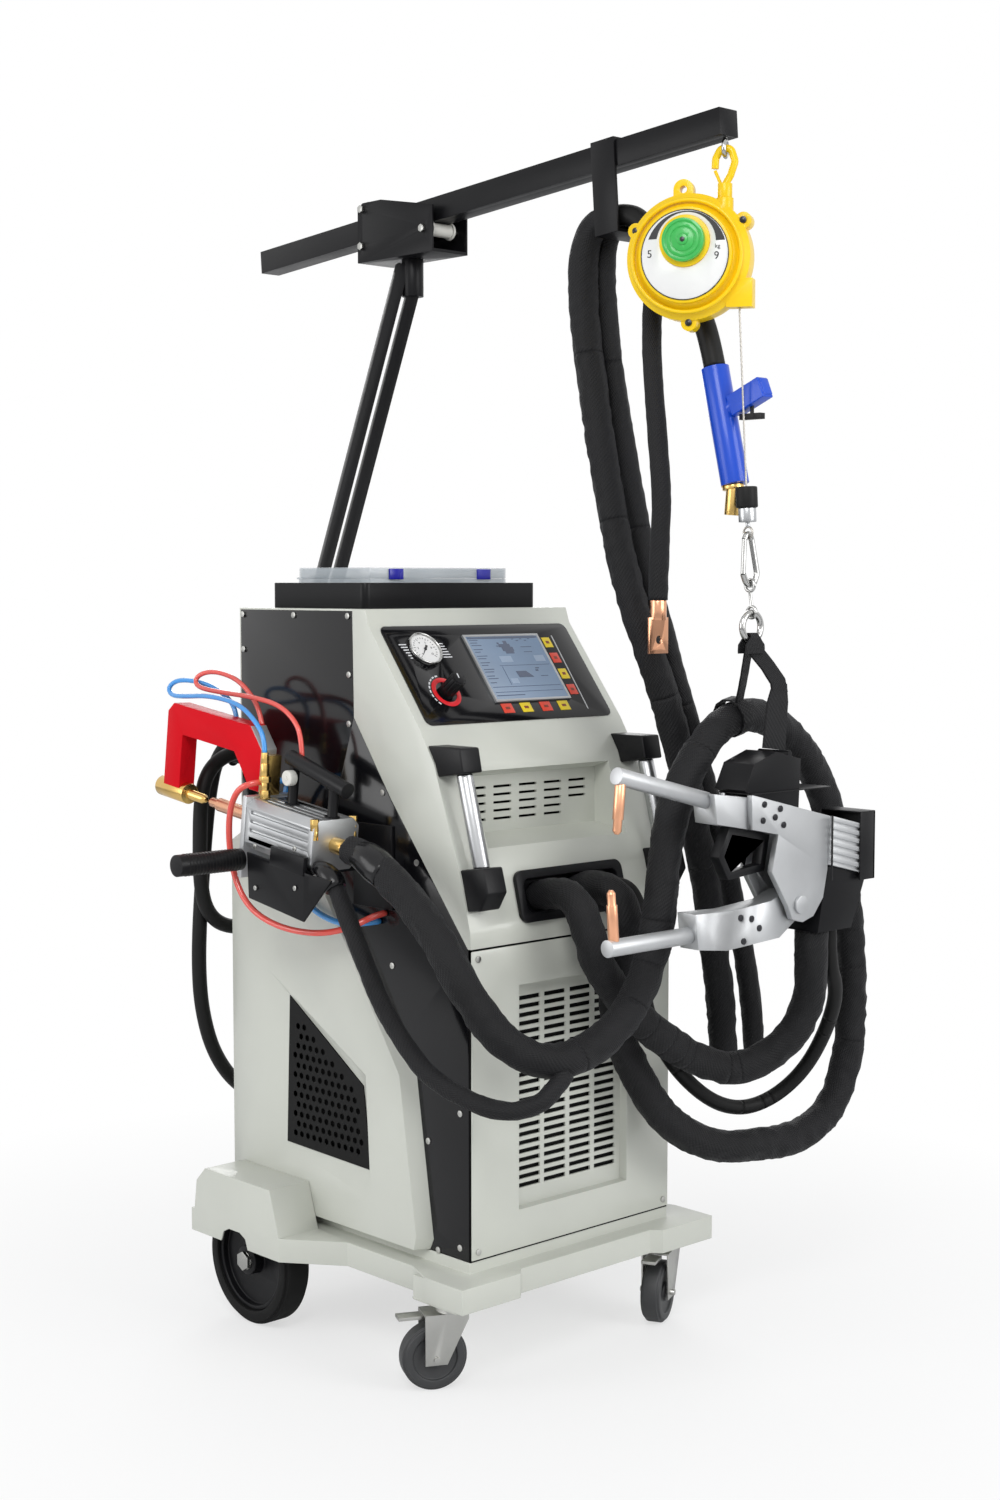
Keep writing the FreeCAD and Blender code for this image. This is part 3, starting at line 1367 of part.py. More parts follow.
def cable_hanger():
    half = beam_side / 2
    clip = half + hanger_sheet
    shelf_left = -clip
    shelf_right = shelf_left + hanger_shelf
    outline = [(-half, half), (half, half), (half, half - hanger_clip), (clip, half - hanger_clip), (clip, clip),
               (-clip, clip), (-clip, -hanger_drop), (shelf_right, -hanger_drop),
               (shelf_right, -hanger_drop + hanger_lip + hanger_sheet),
               (shelf_right - hanger_sheet, -hanger_drop + hanger_lip + hanger_sheet),
               (shelf_right - hanger_sheet, -hanger_drop + hanger_sheet), (-half, -hanger_drop + hanger_sheet)]
    return on_beam(slab_y(outline, -hanger_width / 2, hanger_width / 2), hanger_y)


# Balancer


def on_balancer(shape):
    """From the balancer's own frame (to its right, away from its face, up) to its place."""
    return shifted(turned(shape, (0, 0, 0), (0, 0, 1), balancer_turn), balancer_x, balancer_y, balancer_z)


def balancer_housing():
    front = -balancer_half
    rear = balancer_half
    step = balancer_step
    parts = [rod((0, front, 0), (0, front + step, 0), balancer_face_radius),
             Part.makeCone(balancer_face_radius, balancer_radius, step, V(0, front + step, 0), V(0, 1, 0)),
             rod((0, front + 2 * step, 0), (0, rear - step, 0), balancer_radius),
             Part.makeCone(balancer_radius, balancer_back_radius, step, V(0, rear - step, 0), V(0, 1, 0)),
             rod((ear_a, -lug_half, ear_c), (ear_a, lug_half, ear_c), ear_radius),
             box(ear_a - ear_radius, ear_a + ear_radius, -lug_half, lug_half, balancer_radius * 0.7, ear_c),
             box(spout_a - 2 * spout_half, spout_a + spout_half, -spout_half, spout_half, spout_foot_c,
                 spout_top_c),
             rod((hook_a, 0, balancer_radius / 2), (hook_a, 0, collar_c), collar_radius + sheet),
             rod((0, front - tension_seat_height, tension_c), (0, front, tension_c), tension_seat_radius)]
    holes = [rod((ear_a, -balancer_radius, ear_c), (ear_a, balancer_radius, ear_c), ear_hole),
             rod((spout_a - spout_half / 2, 0, spout_foot_c - overrun),
                 (spout_a - spout_half / 2, 0, (spout_foot_c + spout_top_c) / 2), 3 * rope_radius),
             rod((0, front - tension_seat_height - overrun, tension_c),
                 (0, front + tension_shaft_depth, tension_c), tension_shaft + run_fit)]
    for share_a, share_c in lug_places_share:
        a = share_a * balancer_radius
        c = share_c * balancer_radius
        parts.append(rod((a, -lug_half, c), (a, 2 * lug_half, c), lug_radius))
        parts.append(rod((a * 0.85, -lug_half, c * 0.85), (a * 0.85, 2 * lug_half, c * 0.85), lug_radius))
        holes.append(rod((a, -2 * lug_half, c), (a, 0, c), lug_hole))
    return on_balancer(fuse(*parts).cut(group(holes)))


def balancer_dial_plate():
    front = -balancer_half - seat_gap / 3
    plate = rod((0, front - dial_depth, 0), (0, front, 0), dial_radius)
    opening = rod((0, front - 2 * dial_depth, tension_c), (0, front + dial_depth, tension_c),
                  tension_seat_radius + seat_gap)
    return on_balancer(plate.cut(opening))


def balancer_tension_knob():
    seat = -balancer_half - tension_seat_height - seat_gap
    knob = rod((0, seat - tension_height, tension_c), (0, seat, tension_c), tension_radius)
    rings = []
    for share in (0.85, 0.6):
        rings.append(pipe((0, seat - tension_height - overrun, tension_c),
                          (0, seat - tension_height + sheet / 2, tension_c),
                          tension_radius * share, tension_radius * share - sheet))
    socket = rod((0, seat - tension_height - overrun, tension_c), (0, seat - tension_height / 2, tension_c),
                 tension_shaft * 0.7)
    shaft = rod((0, seat, tension_c), (0, -balancer_half + tension_shaft_depth - overrun, tension_c),
                tension_shaft)
    return on_balancer(fuse(knob.cut(group(rings)), shaft).cut(socket))


def balancer_hook():
    base = collar_c + seat_gap
    top = base + collar_height
    collar = rod((hook_a, 0, base), (hook_a, 0, top), collar_radius)
    route = [(hook_a + hook_half * x, 0, top - overrun + hook_rise * z) for x, z in hook_path_shares]
    points = [V(*p) for p in route]
    radii = [0] + [hook_rod * 1.6] * (len(points) - 2) + [0]
    path = Part.Wire(rounded_edges(points, radii, False))
    start = Part.Wire(Part.makeCircle(hook_rod, points[0], points[1] - points[0]))
    rod_shape = path.makePipeShell([start], True, False)
    tip = points[-1]
    latch = rod((tip.x, 0, tip.z - hook_rod / 2), (hook_a - hook_rod, 0, top - overrun), latch_bar)
    hook = fuse(collar, rod_shape, latch)
    return on_balancer(hook)


# Rope, snap hook and sling

rope_start = V(*rope_top)
rope_run = V(*rope_ring) - rope_start


def on_rope(share):
    place = rope_start + rope_run * share
    return (place.x, place.y, place.z)


def wire_rope():
    snap_top = V(*on_rope(snap_share[0]))
    eye_centre = snap_top + V(0, 0, rope_eye_radius - 2 * rope_radius - snap_wire - seat_gap + rope_radius)
    eye = Part.makeTorus(rope_eye_radius, rope_radius, eye_centre, V(1, 0, 0))
    rope = rod(on_rope(rope_hidden_share), on_rope(ferrule_share[1]), rope_radius)
    splice = rod(on_rope(ferrule_share[1]), tuple(eye_centre + V(0, 0, rope_eye_radius)), 2 * rope_radius)
    bumper = rod(on_rope(bumper_share[0]), on_rope(bumper_share[1]), bumper_radius)
    ferrule = rod(on_rope(ferrule_share[0]), on_rope(ferrule_share[1]), ferrule_radius)
    return fuse(rope, bumper, ferrule, splice, eye)


def carabiner():
    """The snap hook, the link below it and the ring that the sling hangs on."""
    top = V(*on_rope(snap_share[0]))
    foot = V(*on_rope(snap_share[1]))
    body = [top + V(-snap_half_top, 0, -snap_half_top), top + V(-snap_half_top / 2, 0, 0),
            top + V(snap_half_top / 2, 0, 0), top + V(snap_half_top, 0, -snap_half_top),
            foot + V(snap_half_foot, 0, snap_half_foot), foot + V(snap_half_foot / 2, 0, 0),
            foot + V(-snap_half_foot / 2, 0, 0), foot + V(-snap_half_foot, 0, snap_half_foot)]
    radii = [0, snap_bend, snap_bend, snap_bend, 2 * snap_bend, 2 * snap_bend, 2 * snap_bend, 0]
    path = Part.Wire(rounded_edges(body, radii, False))
    start = Part.Wire(Part.makeCircle(snap_wire, body[0], body[1] - body[0]))
    snap = path.makePipeShell([start], True, False)
    gate = rod(tuple(body[0]), tuple(body[-1]), snap_wire * 0.8)
    centre = V(*rope_ring)
    ring = Part.makeTorus(ring_radius, ring_wire, centre, V(0, 1, 0))
    upper = V(foot.x, foot.y, foot.z + snap_wire + seat_gap + link_wire - link_radius)
    lower = V(centre.x, centre.y, centre.z + ring_radius - ring_wire - seat_gap - link_wire + link_radius)
    link = fuse(Part.makeTorus(link_radius, link_wire, upper, V(1, 0, 0)),
                rod(tuple(upper - V(0, 0, link_radius)), tuple(lower + V(0, 0, link_radius)), link_barrel / 2),
                Part.makeTorus(link_radius, link_wire, lower, V(1, 0, 0)))
    return group([fuse(snap, gate), link, ring])


def strap(foot, head, half_width, depth, across):
    """A flat strap between two places, its width along the given direction."""
    foot = V(*foot)
    head = V(*head)
    across = V(*across).normalize()
    normal = (head - foot).cross(across).normalize()
    corners = [foot - across * half_width - normal * depth / 2, foot + across * half_width - normal * depth / 2,
               foot + across * half_width + normal * depth / 2, foot - across * half_width + normal * depth / 2]
    return face_of(corners).extrude(head - foot)


def sling():
    """Webbing folded over the ring, one strap down to the gun's eye and one to the loop round its hose."""
    x, y, z = rope_ring
    inner = ring_wire + seat_gap
    outer = inner + sling_thin
    bridge_z = z - math.sqrt((ring_radius - ring_wire) ** 2 - fold_bridge_half ** 2) + seat_gap
    bar_foot = z - ring_radius - ring_wire - seat_gap
    fold = box(x - fold_half, x + fold_half, y - outer, y + outer, bar_foot - fold_depth, bridge_z + sling_thin)
    slot = box(x - fold_half - overrun, x + fold_half + overrun, y - inner, y + inner, bar_foot,
               bridge_z + sling_thin + overrun)
    bridge = box(x - fold_bridge_half, x + fold_bridge_half, y - outer, y + outer, bridge_z, bridge_z + sling_thin)
    body = strap(sling_foot, sling_front, sling_wide_half, sling_thick, sling_foot_across)
    upper = strap(sling_front, sling_head, sling_narrow_half, sling_thick, sling_head_across)
    rear = strap(sling_hose_foot, sling_hose_head, sling_hose_half, sling_thin, sling_hose_across)
    loop = Part.makeTorus(sleeve_wide + hose_loop_slack + hose_loop_wire, hose_loop_wire,
                          V(*hose_loop_centre), V(*hose_loop_axis))
    return group([fuse(fold.cut(slot), bridge, body, upper, rear).cut(loop), loop])


# Blow gun and earth lug


def pull_gun_body():
    body = rod(pull_top, pull_foot, pull_radius)
    chuck = rod(pull_foot, pull_chuck, chuck_radius)
    grip = rod(pull_grip_root, pull_grip, grip_radius)
    x, y, z = pull_grip
    root_y = pull_grip_root[1]
    middle_y = (y + root_y) / 2 - chuck_radius
    bore = rod((x, middle_y, z - 3 * grip_radius), (x, middle_y, z - overrun), trigger_depth / 3 + run_fit)
    return fuse(body, chuck, grip).cut(bore)


def pull_gun_trigger():
    x, y, z = pull_grip
    middle_y = (y + pull_grip_root[1]) / 2 - chuck_radius
    top = z - 2.75 * grip_radius - trigger_depth / 2
    blade = box(x - trigger_width / 2, x + trigger_width / 2, middle_y - trigger_length / 2,
                middle_y + trigger_length / 2, top - trigger_depth, top)
    stem = rod((x, middle_y, top), (x, middle_y, z - grip_radius), trigger_depth / 3)
    return fuse(blade, stem)


def earth_lug():
    x, y, z = lug_foot
    head = lug_head
    neck = ((x + head[0]) / 2, (y + head[1]) / 2, (z + head[2]) / 2)
    barrel = rod(head, neck, lug_barrel)
    blade = box(x - lug_blade_width / 2, x + lug_blade_width / 2, y - lug_blade_depth / 2,
                y + lug_blade_depth / 2, z - lug_blade_width / 2, neck[2] + lug_blade_depth)
    bore = rod((x, y - lug_blade_width, z), (x, y + lug_blade_width, z), lug_bolt_bore)
    return fuse(barrel, blade).cut(bore)


# X-gun


def xgun_rod(line, radius):
    (xa, za), (xb, zb) = line
    return rod((xa, xgun_y, za), (xb, xgun_y, zb), radius)


def xgun_heads(places, face):
    heads = []
    for x, z in places:
        for sign in (-1, 1):
            heads.append(rod((x, xgun_y + sign * face, z), (x, xgun_y + sign * (face + screw_head), z),
                             screw_radius))
    return heads


def xgun_pin(extra):
    x, z = xgun_pivot
    return rod((x, xgun_y - xgun_cheek_outer - extra, z), (x, xgun_y + xgun_cheek_outer + extra, z),
               xgun_pivot_radius)


def xgun_frame():
    pin = xgun_pin(overrun)
    x, z = xgun_pivot
    shapes = []
    for sign in (-1, 1):
        cheek = slab_y(xgun_plate, xgun_y + sign * xgun_cheek_inner, xgun_y + sign * xgun_cheek_outer)
        shapes.append(cheek.cut(pin))
        head = xgun_y + sign * xgun_cheek_outer
        pin = pin.fuse(rod((x, head, z), (x, head + sign * xgun_pivot_head_depth, z), xgun_pivot_head))
    arm = xgun_rod(xgun_upper_arm, xgun_arm_radius)
    clamp = slab_y(xgun_clamp, xgun_y - xgun_cheek_inner, xgun_y + xgun_cheek_inner).cut(arm)
    outer = slab_y(xgun_handle, xgun_y - xgun_handle_half, xgun_y + xgun_handle_half)
    inner = slab_y(inset(xgun_handle, xgun_handle_bar), xgun_y - xgun_cheek_inner, xgun_y + xgun_cheek_inner)
    shapes += [pin, arm, clamp, outer.cut(inner)]
    return group(shapes + xgun_heads(xgun_screws, xgun_cheek_outer))


def between(a, b, share):
    return (a[0] + (b[0] - a[0]) * share, a[1] + (b[1] - a[1]) * share)


def xgun_cylinder():
    top_left, top_right, foot_right, foot_left = xgun_body
    body = slab_y(xgun_body, xgun_y - xgun_body_half, xgun_y + xgun_body_half)
    grooves = []
    for k in range(xgun_fins):
        low = (k + 0.6) / (xgun_fins + 0.2)
        high = low + 0.4 / xgun_fins
        outline = [between(top_left, foot_left, low), between(top_right, foot_right, low),
                   between(top_right, foot_right, high), between(top_left, foot_left, high)]
        for sign in (-1, 1):
            grooves.append(slab_y(outline, xgun_y + sign * (xgun_body_half - xgun_fin_depth),
                                  xgun_y + sign * (xgun_body_half + overrun)))
    return body.cut(group(grooves))


def xgun_cover_node():
    cover = slab_y(xgun_cover, xgun_y - xgun_cover_half, xgun_y + xgun_cover_half)
    block = slab_y(xgun_block, xgun_y - xgun_block_half, xgun_y + xgun_block_half)
    eye = rod((hanger_eye[0][0], xgun_y - xgun_block_half, hanger_eye[0][1]),
              (hanger_eye[0][0], xgun_y + xgun_block_half, hanger_eye[0][1]), screw_radius)
    return group([cover, block.fuse(eye).removeSplitter()])


def xgun_upper_electrode():
    arm = xgun_rod(xgun_upper_arm, xgun_arm_radius)
    top, tip = xgun_upper_tip
    return electrode(between(tip, top, 1.1), tip).cut(arm)


def electrode(root, tip):
    """A tip holder with a narrower domed cap at its end."""
    neck = between(root, tip, 0.72)
    shoulder = between(root, tip, 0.94)
    shank = xgun_rod((root, neck), xgun_tip_radius)
    cap = xgun_rod((neck, shoulder), xgun_tip_radius * 0.8)
    point = V(shoulder[0], xgun_y, shoulder[1])
    along = V(tip[0], xgun_y, tip[1]) - point
    cone = Part.makeCone(xgun_tip_radius * 0.8, xgun_tip_radius * 0.4, along.Length, point, along)
    return fuse(shank, cap, cone)


def xgun_jaw():
    pin_hole = rod((xgun_pivot[0], xgun_y - xgun_cheek_outer, xgun_pivot[1]),
                   (xgun_pivot[0], xgun_y + xgun_cheek_outer, xgun_pivot[1]), xgun_pivot_radius + run_fit)
    plate = slab_y(xgun_jaw_plate, xgun_y - xgun_jaw_half, xgun_y + xgun_jaw_half).cut(pin_hole)
    arm = xgun_rod(xgun_lower_arm, xgun_arm_radius)
    clamp = slab_y(xgun_lower_clamp, xgun_y - xgun_jaw_half, xgun_y + xgun_jaw_half).cut(arm)
    return group([plate, clamp, arm] + xgun_heads(xgun_jaw_screws, xgun_jaw_half))


def xgun_lower_electrode():
    arm = xgun_rod(xgun_lower_arm, xgun_arm_radius)
    base, tip = xgun_lower_tip
    return electrode(between(tip, base, 1.1), tip).cut(arm)


# C-gun


def on_cgun(shape):
    """From the C-gun's own frame (x, along its axis, up) to its place on the left side."""
    return shifted(turned(shape, (0, 0, 0), (1, 0, 0), cgun_tilt), cgun_x, cgun_rear_y, cgun_rear_z)


def cgun_cylinder():
    x = cgun_half_x
    z = cgun_half_z
    edge = cgun_edge
    outline = [(-x, -z + edge), (-x + edge, -z), (x - edge, -z), (x, -z + edge), (x, z - edge), (x - edge, z),
               (-x + edge, z), (-x, z - edge)]
    body = slab_y(outline, 0, cgun_length)
    for k in range(cgun_fins):
        place = (k - (cgun_fins - 1) / 2) * (z - edge) * 2 / cgun_fins
        for sign in (-1, 1):
            body = body.cut(box(min(sign * x, sign * (x - cgun_fin_depth)), max(sign * x, sign * (x - cgun_fin_depth)),
                                edge, cgun_length - edge, place - cgun_fin_width / 2, place + cgun_fin_width / 2))
            body = body.cut(box(place - cgun_fin_width / 2, place + cgun_fin_width / 2, edge, cgun_length - edge,
                                min(sign * z, sign * (z - cgun_fin_depth)), max(sign * z, sign * (z - cgun_fin_depth))))
    body = body.cut(rod((0, cgun_piston_y - cgun_piston_depth, 0), (0, cgun_piston_y + cgun_stroke_room, 0),
                        cgun_bore + run_fit))
    body = body.cut(rod((0, cgun_piston_y, 0), (0, cgun_length + overrun, 0), cgun_ram_radius + run_fit))
    plate_y = cgun_length
    plate = box(-cgun_plate_half, cgun_plate_half, plate_y, plate_y + cgun_plate_depth, cgun_plate_foot,
                cgun_plate_head)
    plate = plate.cut(rod((0, plate_y - overrun, 0), (0, plate_y + cgun_plate_depth + overrun, 0),
                          cgun_ram_radius + run_fit))
    return group([on_cgun(body), on_cgun(plate)])


def cgun_ram():
    piston = rod((0, cgun_piston_y, 0), (0, cgun_piston_y + cgun_piston_depth, 0), cgun_bore)
    bar = rod((0, cgun_piston_y, 0), (0, cgun_ram_head_y, 0), cgun_ram_radius)
    tip = rod((0, cgun_ram_head_y, 0), (0, cgun_tip_y - cgun_tip_radius, 0), cgun_tip_radius)
    cone = Part.makeCone(cgun_tip_radius, cgun_tip_radius / 2, cgun_tip_radius,
                         V(0, cgun_tip_y - cgun_tip_radius, 0), V(0, 1, 0))
    return on_cgun(fuse(piston, bar, tip, cone))


def cgun_arm():
    bar = slab_x(cgun_arm_outline, -cgun_arm_half, cgun_arm_half)
    bar = bar.cut(rod((0, cgun_holder_y, 0), (0, cgun_holder_end, 0), cgun_holder_radius))
    return on_cgun(bar)


def cgun_brass_parts():
    holder = rod((0, cgun_holder_y, 0), (0, cgun_holder_end, 0), cgun_holder_radius)
    tip_y = cgun_tip_y + cgun_gap
    tip = rod((0, tip_y + cgun_tip_radius, 0), (0, cgun_holder_y, 0), cgun_tip_radius)
    cone = Part.makeCone(cgun_tip_radius, cgun_tip_radius / 2, cgun_tip_radius,
                         V(0, tip_y + cgun_tip_radius, 0), V(0, -1, 0))
    plate_end = cgun_length + cgun_plate_depth
    block = box(-cgun_arm_half, cgun_arm_half, plate_end - cgun_brass_depth, plate_end, cgun_plate_head,
                cgun_brass_head)
    stud = rod((0, -cgun_stud_length, 0), (0, 0, 0), cgun_stud_radius)
    return group([on_cgun(shape) for shape in (fuse(holder, tip, cone), block, stud)])


def cgun_handles():
    front_y, front_z = cgun_handle_front
    rear_y, rear_z = cgun_handle_rear
    bar = rod((0, front_y, front_z), (0, rear_y, rear_z), cgun_handle_radius)
    shapes = [bar]
    for y in (cgun_handle_post_front, cgun_handle_post_rear):
        share = (y - rear_y) / (front_y - rear_y)
        shapes.append(rod((0, y, cgun_half_z + seat_gap), (0, y, rear_z + share * (front_z - rear_z)),
                          cgun_post_radius))
        shapes.append(rod((0, y, cgun_half_z + seat_gap), (0, y, cgun_half_z + seat_gap + sheet), cgun_handle_radius))
    grip_y = cgun_length + cgun_plate_depth / 2
    root = -cgun_plate_half - seat_gap
    grip = rod((root, grip_y, cgun_grip_z), (root - cgun_grip_length, grip_y, cgun_grip_z), cgun_grip_radius)
    return group([on_cgun(fuse(*shapes)), on_cgun(grip)])


def gun_cradle():
    plate = box(-cabinet_half - cradle_sheet, -cabinet_half, cradle_plate_front_y, cradle_plate_rear_y,
                cradle_plate_foot_z, cradle_plate_head_z)
    top = -cgun_half_z - seat_gap
    inner_x = -cabinet_half - cgun_x
    tray = box(-cgun_plate_half - 2 * cradle_sheet, inner_x, cradle_front, cradle_rear, top - cradle_sheet, top)
    lip = box(-cgun_plate_half - 2 * cradle_sheet, -cgun_half_x - cradle_sheet / 2, cradle_front, cradle_rear, top,
              top + cradle_lip)
    inner_lip = box(cgun_half_x + cradle_sheet / 2, cgun_half_x + cradle_sheet * 1.5, cradle_front, cradle_rear, top,
                    top + cradle_lip)
    arm = fuse(on_cgun(tray), on_cgun(lip), on_cgun(inner_lip))
    arm = arm.common(box(2 * cgun_x, -cabinet_half, -cabinet_depth, cabinet_depth, 0, cabinet_top_z))
    cheek = slab_x(cradle_cheek, cradle_cheek_x, cradle_cheek_x + cradle_sheet * 0.8)
    return fuse(plate, arm, cheek)


# Hoses and cables


def cgun_hoses():
    return group([soft_tube("main sleeve", main_sleeve, sleeve_wide),
                  soft_tube("second sleeve", second_sleeve, sleeve_second)])


def xgun_hose():
    return group([soft_tube("gun sleeve", gun_sleeve, sleeve_gun), soft_tube("rubber", rubber_hose, rubber_radius)])


def hanger_hoses():
    return group([soft_tube("wide hose", rear_wide_hose, hanger_wide),
                  soft_tube("mid hose", rear_mid_hose, hanger_mid)])


def hanger_cables():
    return group([soft_tube("earth cable", earth_cable, earth_radius),
                  soft_tube("gun hose", pull_hose, pull_hose_radius)])


def air_tubes():
    return group([soft_tube("air tube", route, air_tube_radius) for route in air_tube_routes])


def mains_points():
    """The mains cable's route: its hand-chosen run, then its loops over the peg and the plug's end."""
    points = list(mains_route)
    corners = [(mains_coil_right, mains_coil_top_z), (mains_coil_right, mains_coil_foot_z),
               (mains_coil_left, mains_coil_foot_z), (mains_coil_left, mains_coil_top_z)]
    for k in range(4 * mains_coil_turns + 1):
        x, z = corners[k % 4]
        points.append((x, mains_coil_y - k * mains_coil_pitch / 4, z))
    points.append((mains_end_x, points[-1][1] - mains_coil_pitch / 8, mains_end_z))
    return points


def mains_cable():
    points = mains_points()
    cable = soft_tube("mains cable", points, mains_radius)
    end = V(*points[-1])
    along = (end - V(*points[-2])).normalize()
    shell = Part.makeCylinder(plug_radius, plug_length, end, along)
    face = end + along * plug_length
    shapes = [shell]
    across = along.cross(V(0, 1, 0)).normalize()
    other = along.cross(across)
    for k in range(4):
        angle = math.pi * k / 2
        place = face + across * (plug_pin_ring * math.cos(angle)) + other * (plug_pin_ring * math.sin(angle))
        shapes.append(Part.makeCylinder(plug_pin_radius, plug_pin_length, place, along))
    return group([cable, fuse(*shapes)])


def export(name, shape):
    if not shape.isValid():
        print("not valid:", name)
    print(name, "solids", len(shape.Solids), "volume", round(shape.Volume / 1000), "cm3")
    shape.exportStep(os.path.join("parts", name + ".step"))


def main():
    os.makedirs("parts", exist_ok=True)
    export("chassis_base", chassis_base())
    export("rear_axle", rear_axle())
    wheel = rear_wheel()
    export("right_wheel", group(wheel))
    export("left_wheel", group([mirrored(solid) for solid in wheel]))
    export("left_caster_fork", caster_fork(-1, left_trail_x, left_trail_y))
    export("left_caster_wheel", caster_wheel(-1, left_trail_x, left_trail_y))
    export("right_caster_fork", caster_fork(1, right_trail_x, right_trail_y))
    export("right_caster_wheel", caster_wheel(1, right_trail_x, right_trail_y))
    makers = [cabinet_frame, upper_moulding, lower_front_panel, rear_top_cover, side_trims, side_shells,
              side_grilles, tool_tray, console_plate, display_screen, pressure_gauge, regulator_knob,
              outlet_rim, grab_handles, panel_screws, power_unit, parts_box, parts_box_lid,
              mast_socket, mast_frame, boom_bracket, bracket_rollers, boom_beam, cable_hanger,
              balancer_hook, balancer_housing, balancer_dial_plate, balancer_tension_knob,
              wire_rope, carabiner, sling, pull_gun_body, pull_gun_trigger, earth_lug,
              xgun_frame, xgun_cylinder, xgun_jaw, xgun_upper_electrode, xgun_lower_electrode,
              cgun_cylinder, cgun_ram, cgun_arm, cgun_brass_parts, cgun_handles, gun_cradle,
              cgun_hoses, xgun_hose, hanger_hoses, hanger_cables, air_tubes, mains_cable]
    for maker in makers:
        export(maker.__name__, maker())
    export("xgun_cover", xgun_cover_node())


main()
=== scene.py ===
import json
from collections import namedtuple
from math import atan2, cos, pi, radians, sin

import bpy
from mathutils import Matrix, Vector, noise

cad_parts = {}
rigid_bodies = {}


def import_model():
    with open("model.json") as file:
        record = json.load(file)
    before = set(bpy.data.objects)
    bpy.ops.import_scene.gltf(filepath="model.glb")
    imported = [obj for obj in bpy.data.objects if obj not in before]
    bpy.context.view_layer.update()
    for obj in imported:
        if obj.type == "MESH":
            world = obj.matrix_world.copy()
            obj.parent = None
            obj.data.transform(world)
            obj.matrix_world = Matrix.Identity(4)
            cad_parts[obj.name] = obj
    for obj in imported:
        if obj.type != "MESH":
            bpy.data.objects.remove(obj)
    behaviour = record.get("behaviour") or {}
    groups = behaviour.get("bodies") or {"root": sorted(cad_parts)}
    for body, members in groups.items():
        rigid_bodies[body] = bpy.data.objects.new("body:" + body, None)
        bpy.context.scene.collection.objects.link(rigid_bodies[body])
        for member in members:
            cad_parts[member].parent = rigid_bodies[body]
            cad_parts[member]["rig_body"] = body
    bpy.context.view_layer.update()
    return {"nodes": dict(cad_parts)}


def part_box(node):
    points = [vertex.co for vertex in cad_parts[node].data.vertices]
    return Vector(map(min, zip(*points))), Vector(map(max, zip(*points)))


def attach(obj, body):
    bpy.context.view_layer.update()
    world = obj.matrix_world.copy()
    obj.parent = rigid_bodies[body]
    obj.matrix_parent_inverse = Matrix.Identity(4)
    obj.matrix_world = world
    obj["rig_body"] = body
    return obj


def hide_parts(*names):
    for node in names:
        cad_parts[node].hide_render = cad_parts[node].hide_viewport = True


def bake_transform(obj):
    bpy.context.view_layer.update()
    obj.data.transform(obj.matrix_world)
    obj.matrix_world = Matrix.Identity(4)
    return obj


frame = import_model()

nodes = frame["nodes"]

# Camera, lamps, floor


def aim(thing, place, target):
    thing.location = place
    thing.rotation_euler = (Vector(target) - Vector(place)).to_track_quat("-Z", "Y").to_euler()


def new_object(name, data):
    thing = bpy.data.objects.new(name, data)
    bpy.context.scene.collection.objects.link(thing)
    return thing


def set_camera():
    eye = Vector((-2.3074, -2.5738, 1.2))
    turn, drop = radians(42.96), radians(4.47)
    ahead = Vector((sin(turn) * cos(drop), cos(turn) * cos(drop), -sin(drop)))
    data = bpy.data.cameras.new("camera")
    data.lens = 51.19
    data.sensor_width = 36
    camera = new_object("camera", data)
    aim(camera, eye, eye + ahead)
    bpy.context.scene.camera = camera


def add_lamp(name, place, target, power, width):
    data = bpy.data.lights.new(name, "AREA")
    data.energy = power
    data.size = width
    aim(new_object(name, data), place, target)


def set_inputs(node, **inputs):
    """Sets a shader node's inputs by name, an underscore standing for a space."""
    for name, value in inputs.items():
        node.inputs[name.replace("_", " ")].default_value = value


def add_node(tree, kind, operation=None, **inputs):
    node = tree.nodes.new("ShaderNode" + kind)
    if operation:
        node.operation = operation
    set_inputs(node, **inputs)
    return node


def set_studio():
    """Soft grey light for the machine, and white for what the camera and reflections see."""
    scene = bpy.context.scene
    scene.view_settings.view_transform = "Standard"
    scene.world = bpy.data.worlds.new("studio")
    scene.world.use_nodes = True
    tree = scene.world.node_tree
    tree.nodes.clear()
    join = tree.links.new
    path = add_node(tree, "LightPath").outputs
    seen, bright = add_node(tree, "Math", "MAXIMUM"), add_node(tree, "Math", "MAXIMUM")
    join(path["Is Camera Ray"], seen.inputs[0])
    join(path["Is Transmission Ray"], seen.inputs[1])
    join(seen.outputs[0], bright.inputs[0])
    join(path["Is Glossy Ray"], bright.inputs[1])
    mix = add_node(tree, "MixShader")
    join(bright.outputs[0], mix.inputs["Fac"])
    join(add_node(tree, "Background", Color=(0.95, 0.97, 1.0, 1), Strength=0.42).outputs[0], mix.inputs[1])
    join(add_node(tree, "Background", Color=(1, 1, 1, 1), Strength=1.0).outputs[0], mix.inputs[2])
    join(mix.outputs[0], add_node(tree, "OutputWorld").inputs["Surface"])
    add_lamp("key", (-2.6, -2.2, 3.2), (0, 0, 0.9), 62, 1.6)
    add_lamp("front", (0.9, -3.4, 2.0), (0, 0, 0.9), 46, 1.8)
    add_lamp("left", (-3.2, 1.2, 1.6), (0, 0, 0.8), 30, 1.8)
    add_lamp("back", (2.2, 2.8, 2.6), (0, 0, 1.0), 40, 2.0)


